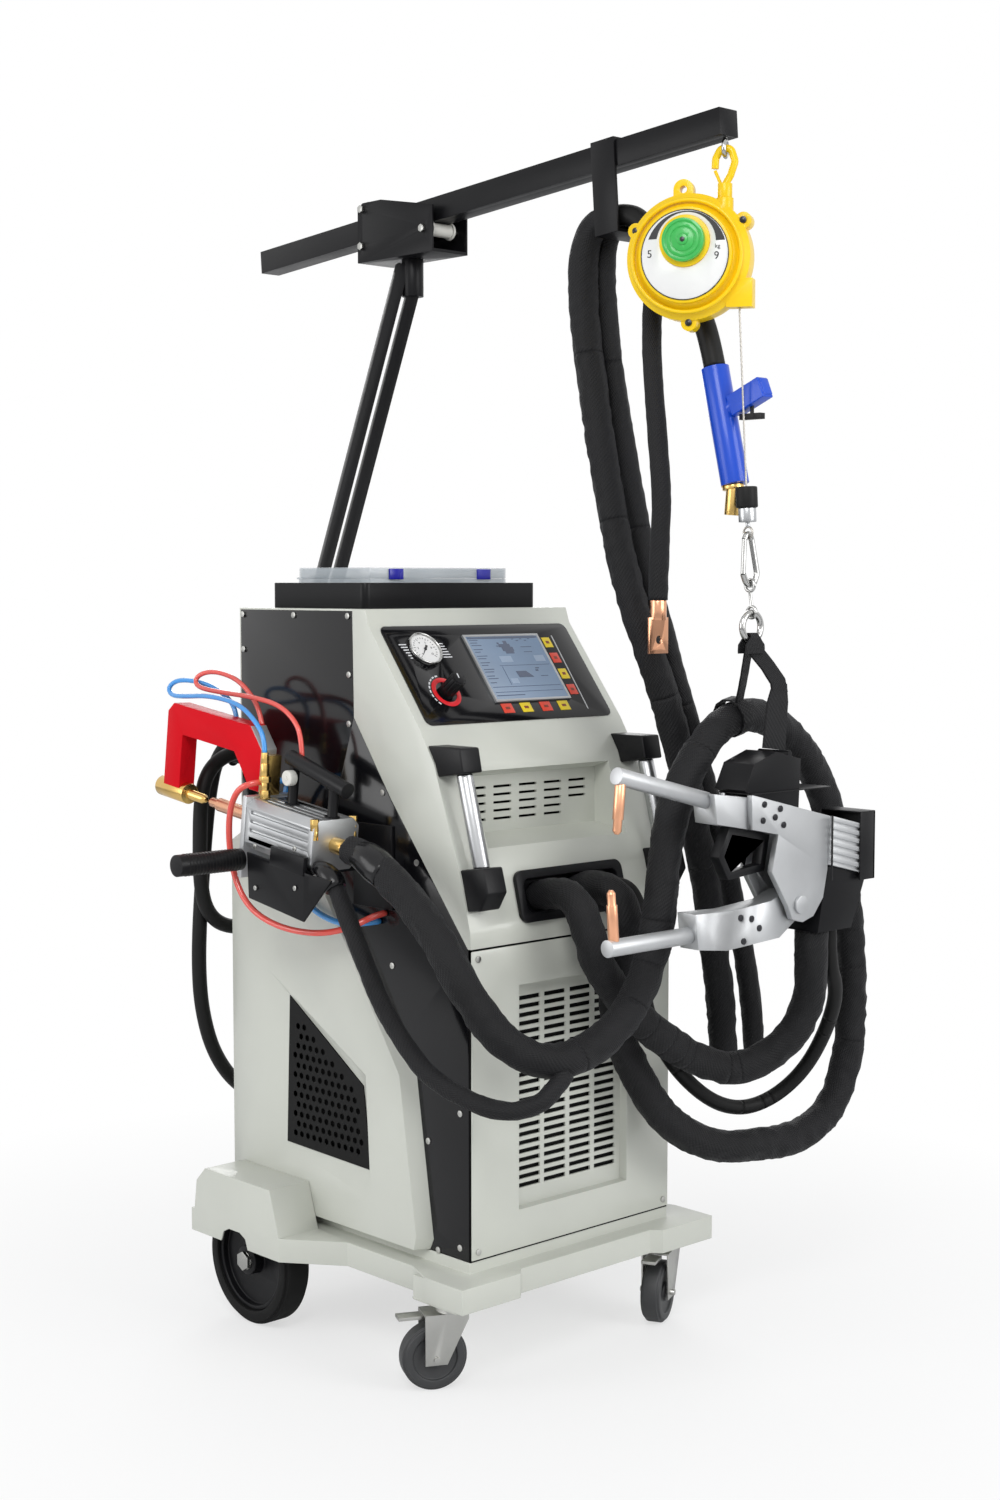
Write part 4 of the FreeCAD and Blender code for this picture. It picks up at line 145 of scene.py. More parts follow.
def set_floor():
    """A pale floor that takes the shadows near the machine and fades to white further out."""
    bpy.ops.object.select_all(action="DESELECT")
    bpy.ops.mesh.primitive_plane_add(size=16, location=(0, 0, -0.0005))
    floor = bpy.context.object
    floor.name = "floor"
    material = bpy.data.materials.new("pale_floor")
    material.use_nodes = True
    tree = material.node_tree
    join = tree.links.new
    shader = tree.nodes["Principled BSDF"]
    set_inputs(shader, Base_Color=(0.9, 0.9, 0.9, 1), Roughness=0.9)
    reach = add_node(tree, "VectorMath", "LENGTH")
    join(add_node(tree, "TexCoord").outputs["Object"], reach.inputs[0])
    fade = add_node(tree, "MapRange", From_Min=0.35, From_Max=1.5, To_Min=0.62, To_Max=1.0)
    join(reach.outputs["Value"], fade.inputs["Value"])
    share = add_node(tree, "Math", "MULTIPLY")
    join(add_node(tree, "LightPath").outputs["Is Camera Ray"], share.inputs[0])
    join(fade.outputs["Result"], share.inputs[1])
    mix = add_node(tree, "MixShader")
    join(share.outputs[0], mix.inputs["Fac"])
    join(shader.outputs[0], mix.inputs[1])
    join(add_node(tree, "Emission", Strength=1.0).outputs[0], mix.inputs[2])
    join(mix.outputs[0], tree.nodes["Material Output"].inputs["Surface"])
    floor.data.materials.append(material)


# Finishes


def ramp_between(tree, source, low, high, dark, light):
    ramp = add_node(tree, "ValToRGB")
    for end, place, colour in zip(ramp.color_ramp.elements, (low, high), (dark, light)):
        end.position = place
        end.color = (*colour, 1)
    tree.links.new(source, ramp.inputs["Fac"])
    return ramp.outputs["Color"]


def finish(name, colour, rough, metal=0.0, coat=0.0, grain=300.0, bump=0.02, blotch=0.06, stretch=(1, 1, 1),
        sheen=0.0, wear=0.1, specular=0.5):
    """A surface with its grain as bump, its tone and its roughness slightly uneven."""
    material = bpy.data.materials.new(name)
    material.use_nodes = True
    tree = material.node_tree
    join = tree.links.new
    shader = tree.nodes["Principled BSDF"]
    set_inputs(shader, Metallic=metal, Coat_Weight=coat, Coat_Roughness=0.08, Sheen_Weight=sheen,
        Specular_IOR_Level=specular)
    place = add_node(tree, "TexCoord").outputs["Object"]
    cloud = add_node(tree, "TexNoise", Scale=7, Detail=6)
    join(place, cloud.inputs["Vector"])
    dark = [c * (1 - blotch) for c in colour]
    light = [min(1, c * (1 + blotch)) for c in colour]
    join(ramp_between(tree, cloud.outputs["Fac"], 0.35, 0.68, dark, light), shader.inputs["Base Color"])
    spread = add_node(tree, "MapRange", From_Min=0.3, From_Max=0.75, To_Min=max(0.02, rough - wear / 2),
        To_Max=min(1, rough + wear / 2))
    join(cloud.outputs["Fac"], spread.inputs["Value"])
    join(spread.outputs["Result"], shader.inputs["Roughness"])
    mapping = add_node(tree, "Mapping", Scale=stretch)
    join(place, mapping.inputs["Vector"])
    fine = add_node(tree, "TexNoise", Scale=grain, Detail=3)
    join(mapping.outputs["Vector"], fine.inputs["Vector"])
    relief = add_node(tree, "Bump", Strength=bump, Distance=0.0006)
    join(fine.outputs["Fac"], relief.inputs["Height"])
    join(relief.outputs["Normal"], shader.inputs["Normal"])
    return material


def woven(name, colour, thread):
    """Twill cloth on the piece's own map: diagonal ribs one way, threads the other."""
    material = finish(name, colour, 0.6, grain=900, bump=0.1, blotch=0.25, sheen=0.06, wear=0.2, specular=0.18)
    tree = material.node_tree
    join = tree.links.new
    shader = tree.nodes["Principled BSDF"]
    set_inputs(shader, Sheen_Roughness=0.4, Sheen_Tint=(0.6, 0.6, 0.65, 1))
    own = add_node(tree, "UVMap")
    own.uv_map = "cloth"
    both = add_node(tree, "Math", "ADD")
    for k, (turn, scale) in enumerate(((0.75, 1.0), (-0.35, 1.7))):
        mapping = add_node(tree, "Mapping", Rotation=(0, 0, turn))
        join(own.outputs["UV"], mapping.inputs["Vector"])
        wave = add_node(tree, "TexWave", Scale=scale / thread / 6.283, Distortion=0.6, Detail=1)
        join(mapping.outputs["Vector"], wave.inputs["Vector"])
        join(wave.outputs["Fac"], both.inputs[k])
    relief = add_node(tree, "Bump", Strength=0.55, Distance=0.0008)
    join(both.outputs[0], relief.inputs["Height"])
    join(relief.outputs["Normal"], shader.inputs["Normal"])
    return material


def clear_plastic(name, colour, alpha):
    material = finish(name, colour, 0.12, grain=60, coat=0.3)
    set_inputs(material.node_tree.nodes["Principled BSDF"], Alpha=alpha)
    return material


cream = finish("cream_paint", (0.60, 0.615, 0.555), 0.34, coat=0.25, grain=900, bump=0.10, blotch=0.02)
gloss_black = finish("gloss_black_paint", (0.004, 0.004, 0.005), 0.14, coat=0.22, grain=700, bump=0.04,
    specular=0.25)
black_paint = finish("black_powder_paint", (0.006, 0.006, 0.007), 0.36, grain=1100, bump=0.16, specular=0.16)
# Near-black matte paint for the inner frame and power unit; the same material is painted shade on the side
# recess floors and on the sheets behind the vents and grilles.
inner_paint_and_shade = finish("dark_inner_paint_and_painted_shade", (0.006, 0.006, 0.006), 0.6, grain=900, bump=0.15, specular=0.1)
grille_black = finish("grille_black", (0.005, 0.005, 0.005), 0.45, grain=900, bump=0.1, specular=0.15)
steel = finish("zinc_steel", (0.46, 0.46, 0.44), 0.36, metal=1, grain=260, bump=0.10, blotch=0.16, wear=0.25)
dark_steel = finish("blued_steel", (0.05, 0.05, 0.055), 0.32, metal=1, grain=260, bump=0.08, blotch=0.2)
chrome = finish("chrome", (0.46, 0.46, 0.45), 0.14, metal=1, grain=120, blotch=0.1, wear=0.1)
brushed = finish("brushed_aluminium", (0.48, 0.49, 0.50), 0.30, metal=1, grain=500, bump=0.12,
    stretch=(0.06, 1, 1), wear=0.2)
blasted = finish("blasted_aluminium", (0.50, 0.51, 0.52), 0.44, metal=0.9, grain=1600, bump=0.28, blotch=0.08)
brass = finish("brass", (0.72, 0.48, 0.16), 0.24, metal=1, bump=0.06, blotch=0.15, wear=0.2)
copper = finish("copper", (0.78, 0.40, 0.24), 0.26, metal=1, bump=0.08, blotch=0.2, wear=0.2)
red_paint = finish("red_paint", (0.66, 0.006, 0.014), 0.42, grain=600, bump=0.03, specular=0.06)
blue_paint = finish("blue_paint", (0.008, 0.07, 0.56), 0.30, coat=0.15, grain=600, bump=0.10, specular=0.35)
yellow_paint = finish("yellow_paint", (0.90, 0.60, 0.004), 0.32, coat=0.12, grain=500, bump=0.12, specular=0.3)
white_paint = finish("white_paint", (0.80, 0.80, 0.79), 0.30, coat=0.2, grain=500, bump=0.04, blotch=0.03)
green_plastic = finish("green_plastic", (0.03, 0.42, 0.07), 0.30, coat=0.2, bump=0.05)
black_plastic = finish("black_plastic", (0.006, 0.006, 0.007), 0.38, grain=900, bump=0.14, specular=0.22)
black_rubber = finish("black_rubber", (0.007, 0.007, 0.007), 0.5, grain=700, bump=0.22, blotch=0.2,
    specular=0.2)
shiny_rubber = finish("shiny_rubber", (0.005, 0.005, 0.006), 0.24, grain=160, bump=0.18, coat=0.12,
    specular=0.3)
tyre_rubber = finish("tyre_rubber", (0.008, 0.008, 0.008), 0.6, grain=500, bump=0.2, blotch=0.2, specular=0.14)
roller_grey = finish("grey_roller", (0.035, 0.036, 0.038), 0.5, grain=500, bump=0.1, blotch=0.15)
nylon = finish("white_nylon", (0.72, 0.71, 0.66), 0.42, bump=0.05)
red_plastic = finish("red_plastic", (0.70, 0.012, 0.02), 0.3, bump=0.03)
yellow_key = finish("yellow_key", (0.82, 0.62, 0.02), 0.4, bump=0.03)
red_key = finish("red_key", (0.72, 0.06, 0.03), 0.4, bump=0.03)
sign_brown = finish("key_sign_ink", (0.20, 0.03, 0.01), 0.45)
white_ink = finish("white_ink", (0.75, 0.76, 0.78), 0.45)
black_ink = finish("black_ink", (0.012, 0.012, 0.014), 0.45)
silver_ink = finish("silver_ink", (0.45, 0.46, 0.47), 0.35, metal=0.6)
screen_glass = finish("screen_glass", (0.17, 0.27, 0.42), 0.10, grain=40, bump=0.01, coat=0.8, blotch=0.10)
screen_ink = finish("screen_ink", (0.045, 0.075, 0.15), 0.12, grain=40, bump=0.01, coat=0.6)
screen_pale = finish("screen_pale", (0.30, 0.40, 0.55), 0.12, grain=40, bump=0.01, coat=0.6)
clear_box = clear_plastic("clear_box", (0.62, 0.68, 0.72), 0.42)
blue_latch = finish("blue_latch", (0.02, 0.02, 0.42), 0.3, bump=0.03)
blue_tube = finish("blue_tube", (0.05, 0.32, 0.78), 0.22, coat=0.5, grain=80, bump=0.04)
coral_tube = finish("coral_tube", (0.80, 0.09, 0.07), 0.22, coat=0.5, grain=80, bump=0.04)
sleeve_cloth = woven("black_sleeve_cloth", (0.0125, 0.0125, 0.0135), 0.0022)
webbing = woven("black_webbing", (0.010, 0.010, 0.011), 0.0030)
wire_steel = finish("wire_strand", (0.42, 0.40, 0.37), 0.4, metal=1, grain=500, bump=0.4, stretch=(1, 1, 0.5))

# Routes of the hoses and cables, in millimetres

main_sleeve_route = [(-300, -88.1, 799.1), (-300, -117.8, 795.2), (-300, -146, 784), (-300, -184, 764),
    (-298, -234, 732), (-296, -287, 680), (-290, -327, 626), (-257, -352, 560), (-220, -385, 519),
    (-159, -407, 506), (-86, -417, 528), (-17, -422, 589), (15, -422, 668), (30, -421, 757), (51, -416, 846),
    (96, -415, 925), (163, -410, 983), (246, -405, 1001), (332, -404, 970), (401, -406, 907), (449, -405, 822),
    (482, -406, 729), (505, -405, 626), (514, -404, 508), (504, -405, 408), (465, -401, 325), (380, -394, 293),
    (291, -384, 299), (208, -364, 306), (140, -338, 348), (94, -314, 421), (62, -299, 505), (46, -306, 574),
    (33, -334, 622), (26, -352, 672), (24, -340, 720), (23, -298, 738), (23, -243, 723)]
second_sleeve_route = [(-331, -47, 771), (-331, -68, 768.2), (-331, -92, 746), (-329, -116, 700),
    (-324, -148, 640), (-315, -180, 576), (-307, -222, 523), (-301, -266, 486), (-290, -326, 462),
    (-266, -384, 446), (-226, -416, 454), (-198, -421, 474), (-172, -418, 494)]
gun_sleeve_route = [(-62, -243, 723), (-62, -298, 738), (-62, -340, 719), (-57, -354, 672), (-36, -352, 620),
    (26, -360, 552), (96, -372, 492), (164, -388, 452), (206, -412, 438), (250, -440, 456), (284, -466, 492),
    (298, -487, 545), (286, -500, 604), (286, -500, 663.6)]
rubber_hose_route = [(76, -243, 723), (77, -284, 734), (81, -310, 724), (87, -322, 692), (94, -320, 644),
    (102, -311, 590), (120, -308, 520), (152, -322, 450), (198, -342, 395), (252, -352, 362), (310, -360, 352),
    (362, -380, 372), (388, -415, 420), (392, -452, 491), (370, -486, 556), (329, -500, 608),
    (329, -500, 663.6)]
wide_hose_route = [(131, -216, 1772), (131, -186, 1772), (130, -160, 1750), (128, -151, 1705),
    (126, -155, 1630), (124, -174, 1530), (121, -198, 1425), (120, -228, 1300), (122, -256, 1200),
    (136, -284, 1110), (165, -300, 1020), (200, -304, 921), (236, -303, 810), (264, -302, 710),
    (286, -302, 600), (302, -303, 500), (308, -304, 405)]
narrow_hose_route = [(167, -216, 1766), (167, -188, 1766), (168, -166, 1744), (168, -159, 1700),
    (168, -166, 1610), (168, -186, 1510), (168, -208, 1410), (168, -236, 1300), (170, -262, 1200),
    (182, -284, 1110), (214, -298, 1000), (256, -303, 885), (296, -304, 780), (330, -303, 680),
    (358, -304, 580), (378, -304, 490), (386, -305, 400)]
pull_hose_route = [(131, -216.3, 1772), (131, -248, 1772), (133, -278, 1755), (139, -308, 1716),
    (148, -336, 1672), (157, -362, 1630), (164, -384, 1584), (165, -398, 1526.6)]
earth_cable_route = [(167, -216.3, 1766), (167, -250, 1766), (166, -274, 1744), (160, -281, 1704),
    (147, -287, 1650), (131, -297, 1590), (120, -312, 1510), (115, -328, 1415), (114, -338, 1325),
    (115, -331, 1240), (115, -330, 1174.3)]
blue_tube_route = [(-284.7, 112, 890), (-268, 112, 890), (-254, 128, 876), (-248, 148, 842), (-247.8, 154, 797),
    (-247.8, 146, 752), (-248, 120, 716), (-251, 78, 692), (-255, 30, 678), (-253, -16, 673), (-240, -56, 679),
    (-218.8, -58, 680)]
coral_tube_route = [(-315.3, 112, 890), (-332, 112, 890), (-344, 136, 880), (-344, 158, 848), (-342, 165, 804),
    (-340, 160, 758), (-338, 145, 719), (-334, 116, 689), (-327, 74, 672), (-316, 26, 664), (-297, -20, 664),
    (-270, -56, 676), (-241, -71, 692), (-218.8, -72, 694)]
mains_route = [(60, 321.3, 260), (60, 344, 260), (48, 366, 262), (16, 380, 267), (-40, 386, 276),
    (-105, 389, 298), (-172, 391, 340), (-217, 391, 402), (-240, 390, 478), (-246, 389, 555), (-243, 388, 635),
    (-236, 388, 715), (-229, 388, 785), (-220, 388, 850), (-205, 389, 904), (-170, 388, 940), (-115, 384, 945)]
mains_route += [(-128, 386, 942), (-90, 382, 925), (-66, 379, 890), (-58, 376, 840), (-58, 374, 767),
    (-60, 372, 700), (-72, 370, 652), (-105, 368, 622), (-160, 366, 614), (-215, 364.5, 622), (-248, 363, 652),
    (-260, 361, 700), (-262, 359, 767), (-260, 357.5, 840), (-248, 356, 885), (-215, 354, 912),
    (-160, 352, 920), (-105, 350, 912), (-74, 349, 888), (-96, 348, 843), (-122, 346.5, 790)]


def route_line(name, points, step=0.006):
    """The smooth line of a route, read from its spline and marked off at even steps."""
    curve = bpy.data.curves.new(name, "CURVE")
    curve.dimensions = "3D"
    curve.resolution_u = 16
    spline = curve.splines.new("NURBS")
    spline.points.add(len(points) - 1)
    for spot, place in zip(spline.points, points):
        spot.co = (*(value / 1000 for value in place), 1)
    spline.order_u = 3
    spline.use_endpoint_u = True
    holder = bpy.data.objects.new(name, curve)
    read = bpy.data.meshes.new_from_object(holder)
    raw = [v.co.copy() for v in read.vertices]
    bpy.data.objects.remove(holder)
    bpy.data.meshes.remove(read)
    marks = [0.0]
    for a, b in zip(raw, raw[1:]):
        marks.append(marks[-1] + (b - a).length)
    count = max(8, round(marks[-1] / step))
    line, k = [], 0
    for i in range(count + 1):
        goal = marks[-1] * i / count
        while k < len(raw) - 2 and marks[k + 1] < goal:
            k += 1
        span = max(1e-9, marks[k + 1] - marks[k])
        line.append(raw[k].lerp(raw[k + 1], min(1.0, max(0.0, (goal - marks[k]) / span))))
    return line


def line_frames(line):
    """Two directions across the line at each mark, carried along without twist."""
    count = len(line)
    ahead = [(line[min(count - 1, i + 1)] - line[max(0, i - 1)]).normalized() for i in range(count)]
    side = ahead[0].orthogonal().normalized()
    frames = []
    for i in range(count):
        if i:
            side = ahead[i - 1].rotation_difference(ahead[i]) @ side
        side = (side - ahead[i] * side.dot(ahead[i])).normalized()
        frames.append((side, ahead[i].cross(side)))
    return frames


def tube_between(name, line, frames, first, last, radius_at, material, around=20):
    """A closed tube round part of a line; its map runs round and along in metres."""
    step = (line[1] - line[0]).length
    points, faces = [], []
    for i in range(first, last + 1):
        side, up = frames[i]
        for j in range(around):
            turn = 2 * pi * j / around
            points.append(line[i] + (side * cos(turn) + up * sin(turn)) * radius_at(i * step, turn))
    for i in range(last - first):
        for j in range(around):
            a, b = i * around + j, i * around + (j + 1) % around
            faces.append((a, b, b + around, a + around))
    flats = [tuple(reversed(range(around))), tuple(range((last - first) * around, (last - first + 1) * around))]
    mesh = bpy.data.meshes.new(name)
    mesh.from_pydata(points, [], faces + flats)
    mesh.polygons.foreach_set("use_smooth", [True] * len(faces) + [False] * 2)
    cloth = mesh.uv_layers.new(name="cloth")
    girth = 2 * pi * radius_at(0, 0)
    for k, polygon in enumerate(mesh.polygons):
        i, j = divmod(k, around)
        for corner, loop in enumerate(polygon.loop_indices):
            cloth.data[loop].uv = (0, 0) if k >= len(faces) else (girth * (j + (corner in (1, 2))) / around,
                step * (first + i + (corner in (2, 3))))
    mesh.materials.append(material)
    piece = new_object(name, mesh)
    return piece


def loose_sleeve(radius, seed, folds=1.0):
    """The outside of a cloth sleeve that hangs loosely round its cable, in folds."""
    def radius_at(along, turn):
        swell = min(1.0, along / 0.10)
        x, y = cos(turn), sin(turn)
        broad = noise.noise(Vector((x * 0.9 + seed, y * 0.9, along * 11)))
        crease = 0.3 - 1.5 * abs(noise.noise(Vector((x * 1.3, y * 1.3 + seed, along * 34))))
        fine = noise.noise(Vector((x * 2.4 - seed, y * 2.4, along * 120)))
        return min(1.33 * radius, radius * (0.97 + 0.20 * swell + folds *
            (0.10 * broad + 0.16 * crease + 0.03 * fine)))
    return radius_at


def smooth_hose(radius, seed):
    def radius_at(along, turn):
        return radius * (0.99 + 0.008 * noise.noise(Vector((seed, cos(turn), along * 20))))
    return radius_at


cord_from = 6  # a section this many diameters long is a cord of its own
piece_reach = 0.138  # a short section goes with the cord below it, up to this far from the next one, in metres


def lay_hose(name, node, points, radius, surface, material, sections=((1, "machine"),)):
    """One hose as its sections: each rides a body, or, where it runs from one body to the next, is left fixed
    where it lies.
    """
    line = route_line(name, points)
    frames = line_frames(line)
    count = len(line) - 1
    step = (line[1] - line[0]).length
    made, start = [], 0
    for number, (share, where) in enumerate(sections):
        end = count if share == 1 else round(share * count)
        piece = tube_between(f"{name}_{number + 1}", line, frames, start, end, surface, material)
        if isinstance(where, str):
            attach(piece, where)
        else:
            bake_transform(piece)
        if node:
            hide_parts(node)
        made.append((piece, start, end))
        start = end
    long_ones = [k for k, (_, a, b) in enumerate(made) if (b - a) * step >= 2 * cord_from * radius]
    extras = {k: [] for k in long_ones}
    for k, (piece, a, b) in enumerate(made):
        if k in extras:
            continue
        below = max([n for n in long_ones if n < k], default=None)
        above = min([n for n in long_ones if n > k], default=None)
        past = below is None or (above is not None and (b - made[below][2]) * step > piece_reach)
        extras[above if past else below].append(piece)
    for k in long_ones:
        piece, a, b = made[k]


down = [("machine", "mast"), ("mast", "carriage"), ("carriage", "boom"), ("boom", "balancer"),
    ("balancer", "rope_end")]
back = [pair[::-1] for pair in reversed(down)]


def lay_gun_hoses():
    shares = [0.1862, 0.2312, 0.2545, 0.2688, 0.276, 0.372, 0.472, 0.568, 0.5752, 0.5895, 0.6128, 0.6578, 1]
    wheres = ["machine"] + down + ["rope_end"] + back + ["machine"]
    lay_hose("main_sleeve", "cgun_hoses", main_sleeve_route, 0.022, loose_sleeve(0.022, 3.1), sleeve_cloth,
        list(zip(shares, wheres)))
    lay_hose("second_sleeve", "cgun_hoses", second_sleeve_route, 0.012, loose_sleeve(0.012, 8.4), sleeve_cloth)
    up = down + [("rope_end", "gun")]
    lay_hose("gun_sleeve", "xgun_hose", gun_sleeve_route, 0.022, loose_sleeve(0.022, 5.7), sleeve_cloth,
        list(zip([0.345, 0.42, 0.47, 0.51, 0.53, 0.63, 0.65, 1], ["machine"] + up + ["gun"])))
    lay_hose("rubber_hose", "xgun_hose", rubber_hose_route, 0.012, smooth_hose(0.012, 2.2), black_rubber,
        list(zip([0.24, 0.4, 0.56, 0.6, 0.62, 0.78, 0.81, 1], ["machine"] + up + ["gun"])))


def lay_hanger_hoses():
    chain = ["boom", ("boom", "carriage"), ("carriage", "mast"), ("mast", "machine"), "machine"]
    shares = [0.175, 0.36, 0.56, 0.76, 1]
    lay_hose("wide_hose", "hanger_hoses", wide_hose_route, 0.020, loose_sleeve(0.020, 1.3), sleeve_cloth,
        list(zip(shares, chain)))
    lay_hose("narrow_hose", "hanger_hoses", narrow_hose_route, 0.015, loose_sleeve(0.015, 6.6, 0.7),
        sleeve_cloth, list(zip(shares, chain)))
    lay_hose("pull_hose", "hanger_cables", pull_hose_route, 0.017, smooth_hose(0.017, 4.4), black_rubber,
        [(1, "boom")])
    lay_hose("earth_cable", "hanger_cables", earth_cable_route, 0.013, loose_sleeve(0.013, 9.9, 0.5),
        sleeve_cloth, [(1, "boom")])


def lay_small_lines():
    lay_hose("blue_tube", "air_tubes", blue_tube_route, 0.005, smooth_hose(0.005, 0.3), blue_tube)
    lay_hose("coral_tube", "air_tubes", coral_tube_route, 0.005, smooth_hose(0.005, 0.9), coral_tube)
    lay_hose("mains_cable", "mains_cable", mains_route, 0.0125, smooth_hose(0.0125, 7.7), black_rubber)


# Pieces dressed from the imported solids


def only(piece):
    bpy.ops.object.select_all(action="DESELECT")
    piece.select_set(True)
    bpy.context.view_layer.objects.active = piece


def open_up(piece):
    """Edit mode on one piece, with all of it selected."""
    only(piece)
    bpy.ops.object.mode_set(mode="EDIT")
    bpy.ops.mesh.select_all(action="SELECT")


def apply_modifier(piece, kind, **settings):
    only(piece)
    modifier = piece.modifiers.new(kind.lower(), kind)
    for key, value in settings.items():
        setattr(modifier, key, value)
    bpy.ops.object.modifier_apply(modifier=modifier.name)


def soften(piece, edge, angle=32, segments=2, keep=None):
    """Rounds the sharp edges; keep tells which edges to round, by their middles in millimetres."""
    if edge and keep is not None:
        mesh = piece.data
        weight = mesh.attributes.new("bevel_weight_edge", "FLOAT", "EDGE")
        normals = {}
        for face in mesh.polygons:
            for key in face.edge_keys:
                normals.setdefault(key, []).append(face.normal)
        for edge_of in mesh.edges:
            a, b = (mesh.vertices[v].co for v in edge_of.vertices)
            sides = normals.get(tuple(sorted(edge_of.vertices)), [])
            sharp = len(sides) == 2 and sides[0].angle(sides[1], 0) > radians(angle)
            weight.data[edge_of.index].value = float(sharp and keep((a + b) * 500))
        apply_modifier(piece, "BEVEL", width=edge, segments=segments, limit_method="WEIGHT",
            use_clamp_overlap=True)
    elif edge:
        apply_modifier(piece, "BEVEL", width=edge, segments=segments, limit_method="ANGLE",
            angle_limit=radians(angle), use_clamp_overlap=True, miter_outer="MITER_ARC")
    only(piece)
    bpy.ops.object.shade_smooth_by_angle(angle=radians(angle))


def lumps(mesh):
    """Each separate lump of the mesh: the lump of every face, and the box of every lump in millimetres."""
    parent = list(range(len(mesh.vertices)))

    def root(k):
        while parent[k] != k:
            parent[k] = parent[parent[k]]
            k = parent[k]
        return k

    for edge in mesh.edges:
        a, b = root(edge.vertices[0]), root(edge.vertices[1])
        if a != b:
            parent[a] = b
    boxes = {}
    for vertex in mesh.vertices:
        place = vertex.co * 1000
        low, high = boxes.setdefault(root(vertex.index), (place.copy(), place.copy()))
        for axis in range(3):
            low[axis] = min(low[axis], place[axis])
            high[axis] = max(high[axis], place[axis])
    return [root(face.vertices[0]) for face in mesh.polygons], boxes


# A face for the rules: its middle and normal, and the box and size of its lump, in millimetres
Spot = namedtuple("Spot", "p n low high size")


def dress(node, material, rules=(), edge=0.0008, angle=32, segments=2, flat=1.0, keep=None):
    """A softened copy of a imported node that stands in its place.
    Each rule is a material and a test of a face, the first that passes decides."""
    source = nodes[node]
    piece = new_object(node + "_finished", source.data.copy())
    piece.data.materials.clear()
    open_up(piece)
    bpy.ops.mesh.remove_doubles(threshold=0.00001)
    if keep is None:
        bpy.ops.mesh.dissolve_limited(angle_limit=radians(flat))
    bpy.ops.object.mode_set(mode="OBJECT")
    if piece.data.has_custom_normals:
        bpy.ops.mesh.customdata_custom_splitnormals_clear()
    mesh = piece.data
    mesh.materials.append(material)
    for finish_of, _ in rules:
        mesh.materials.append(finish_of)
    lump_of, boxes = lumps(mesh)
    for face, lump in zip(mesh.polygons, lump_of):
        low, high = boxes[lump]
        spot = Spot(face.center * 1000, face.normal, low, high, high - low)
        face.material_index = next((k + 1 for k, (_, test) in enumerate(rules) if test(spot)), 0)
    soften(piece, edge, angle, segments, keep)
    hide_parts(node)
    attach(piece, source["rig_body"])
    return piece


def paint(node, material):
    """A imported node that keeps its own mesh, with a better finish."""
    mesh = nodes[node].data
    mesh.materials.clear()
    mesh.materials.append(material)
    for face in mesh.polygons:
        face.material_index = 0


def dress_base():
    dress("chassis_base", cream, edge=0.0022, segments=3)
    dress("rear_axle", steel, edge=0.0006)
    for wheel in ("left_wheel", "right_wheel"):
        dress(wheel, black_paint, [(tyre_rubber, lambda f: f.size.y > 205)], edge=0.0022, segments=3)
    for side_name in ("left", "right"):
        dress(side_name + "_caster_fork", steel, edge=0.0010)
        dress(side_name + "_caster_wheel", roller_grey, edge=0.0025, segments=3)


def dress_cabinet():
    paint("cabinet_frame", inner_paint_and_shade)
    paint("power_unit", inner_paint_and_shade)
    dress("upper_moulding", cream, edge=0.0022, segments=3,
        keep=lambda p: abs(p.x) > 142 or not 822 < p.z < 896 or p.y < -182)
    dress("lower_front_panel", cream, edge=0.0014, keep=lambda p: abs(p.x) > 112 or not 262 < p.z < 582)
    dress("rear_top_cover", cream, [(black_paint, lambda f: f.size.x < 120)], edge=0.0014)
    dress("side_trims", gloss_black, edge=0.0010)
    # The recess floors of the side shells, behind the grilles, take the near-black paint instead of cream:
    # painted shade.
    dress("side_shells", cream, [(inner_paint_and_shade, lambda f: 217 < abs(f.p.x) < 230 and abs(f.n.x) > 0.8)],
        edge=0.0022, segments=3)
    dress("side_grilles", grille_black, edge=0)
    dress("tool_tray", black_paint, edge=0.0009)
    dress("console_plate", gloss_black, console_rules(), edge=0.0004, segments=2)
    dress("display_screen", silver_ink, [(screen_glass, lambda f: f.n.z > 0.5 and -36.9 < f.p.x < 119.9 and
        on_console_height(f.p) < 4.6)], edge=0.0008)
    dress("pressure_gauge", chrome, [(white_paint, lambda f: f.n.z > 0.5 and on_console_height(f.p) < 5.2)],
        edge=0.0009)
    dress("regulator_knob", black_plastic, edge=0.0006)
    dress("outlet_rim", black_plastic, edge=0.0028, segments=3)
    dress("grab_handles", black_plastic, [(brushed, lambda f: f.size.x < 30)], edge=0.0028, segments=3)
    dress("panel_screws", steel, edge=0.0005)
    dress("parts_box", clear_box, edge=0.0006)
    dress("parts_box_lid", clear_box, [(blue_latch, lambda f: f.size.x < 60)], edge=0.0009)


console_turn = Matrix.Translation((0, -0.032963, 1.13469)) @ Matrix.Rotation(radians(51.9794), 4, "X")
console_back = console_turn.inverted()


def on_console_height(p):
    """A place's height above the console's face, in millimetres."""
    return (console_back @ (p / 1000)).z * 1000


def console_rules():
    """The raised keys and the ring on the console, told by their places down its slope."""
    def key(kind):
        def test(f):
            spot = console_back @ ((f.low + f.high) / 2000) * 1000
            if f.size.x > 90:
                return False
            x, s = spot.x, -spot.y
            if abs(x + 131) < 15 and abs(s - 131) < 20:
                return kind == "ring"
            if abs(x - 139) < 8:
                found = "yellow" if (s < 55 or 90 < s < 120) else "red"
            else:
                found = "red" if (x < 0 or 40 < x < 80) else "yellow"
            return kind == found
        return test
    return [(red_key, key("red")), (yellow_key, key("yellow")), (red_plastic, key("ring"))]


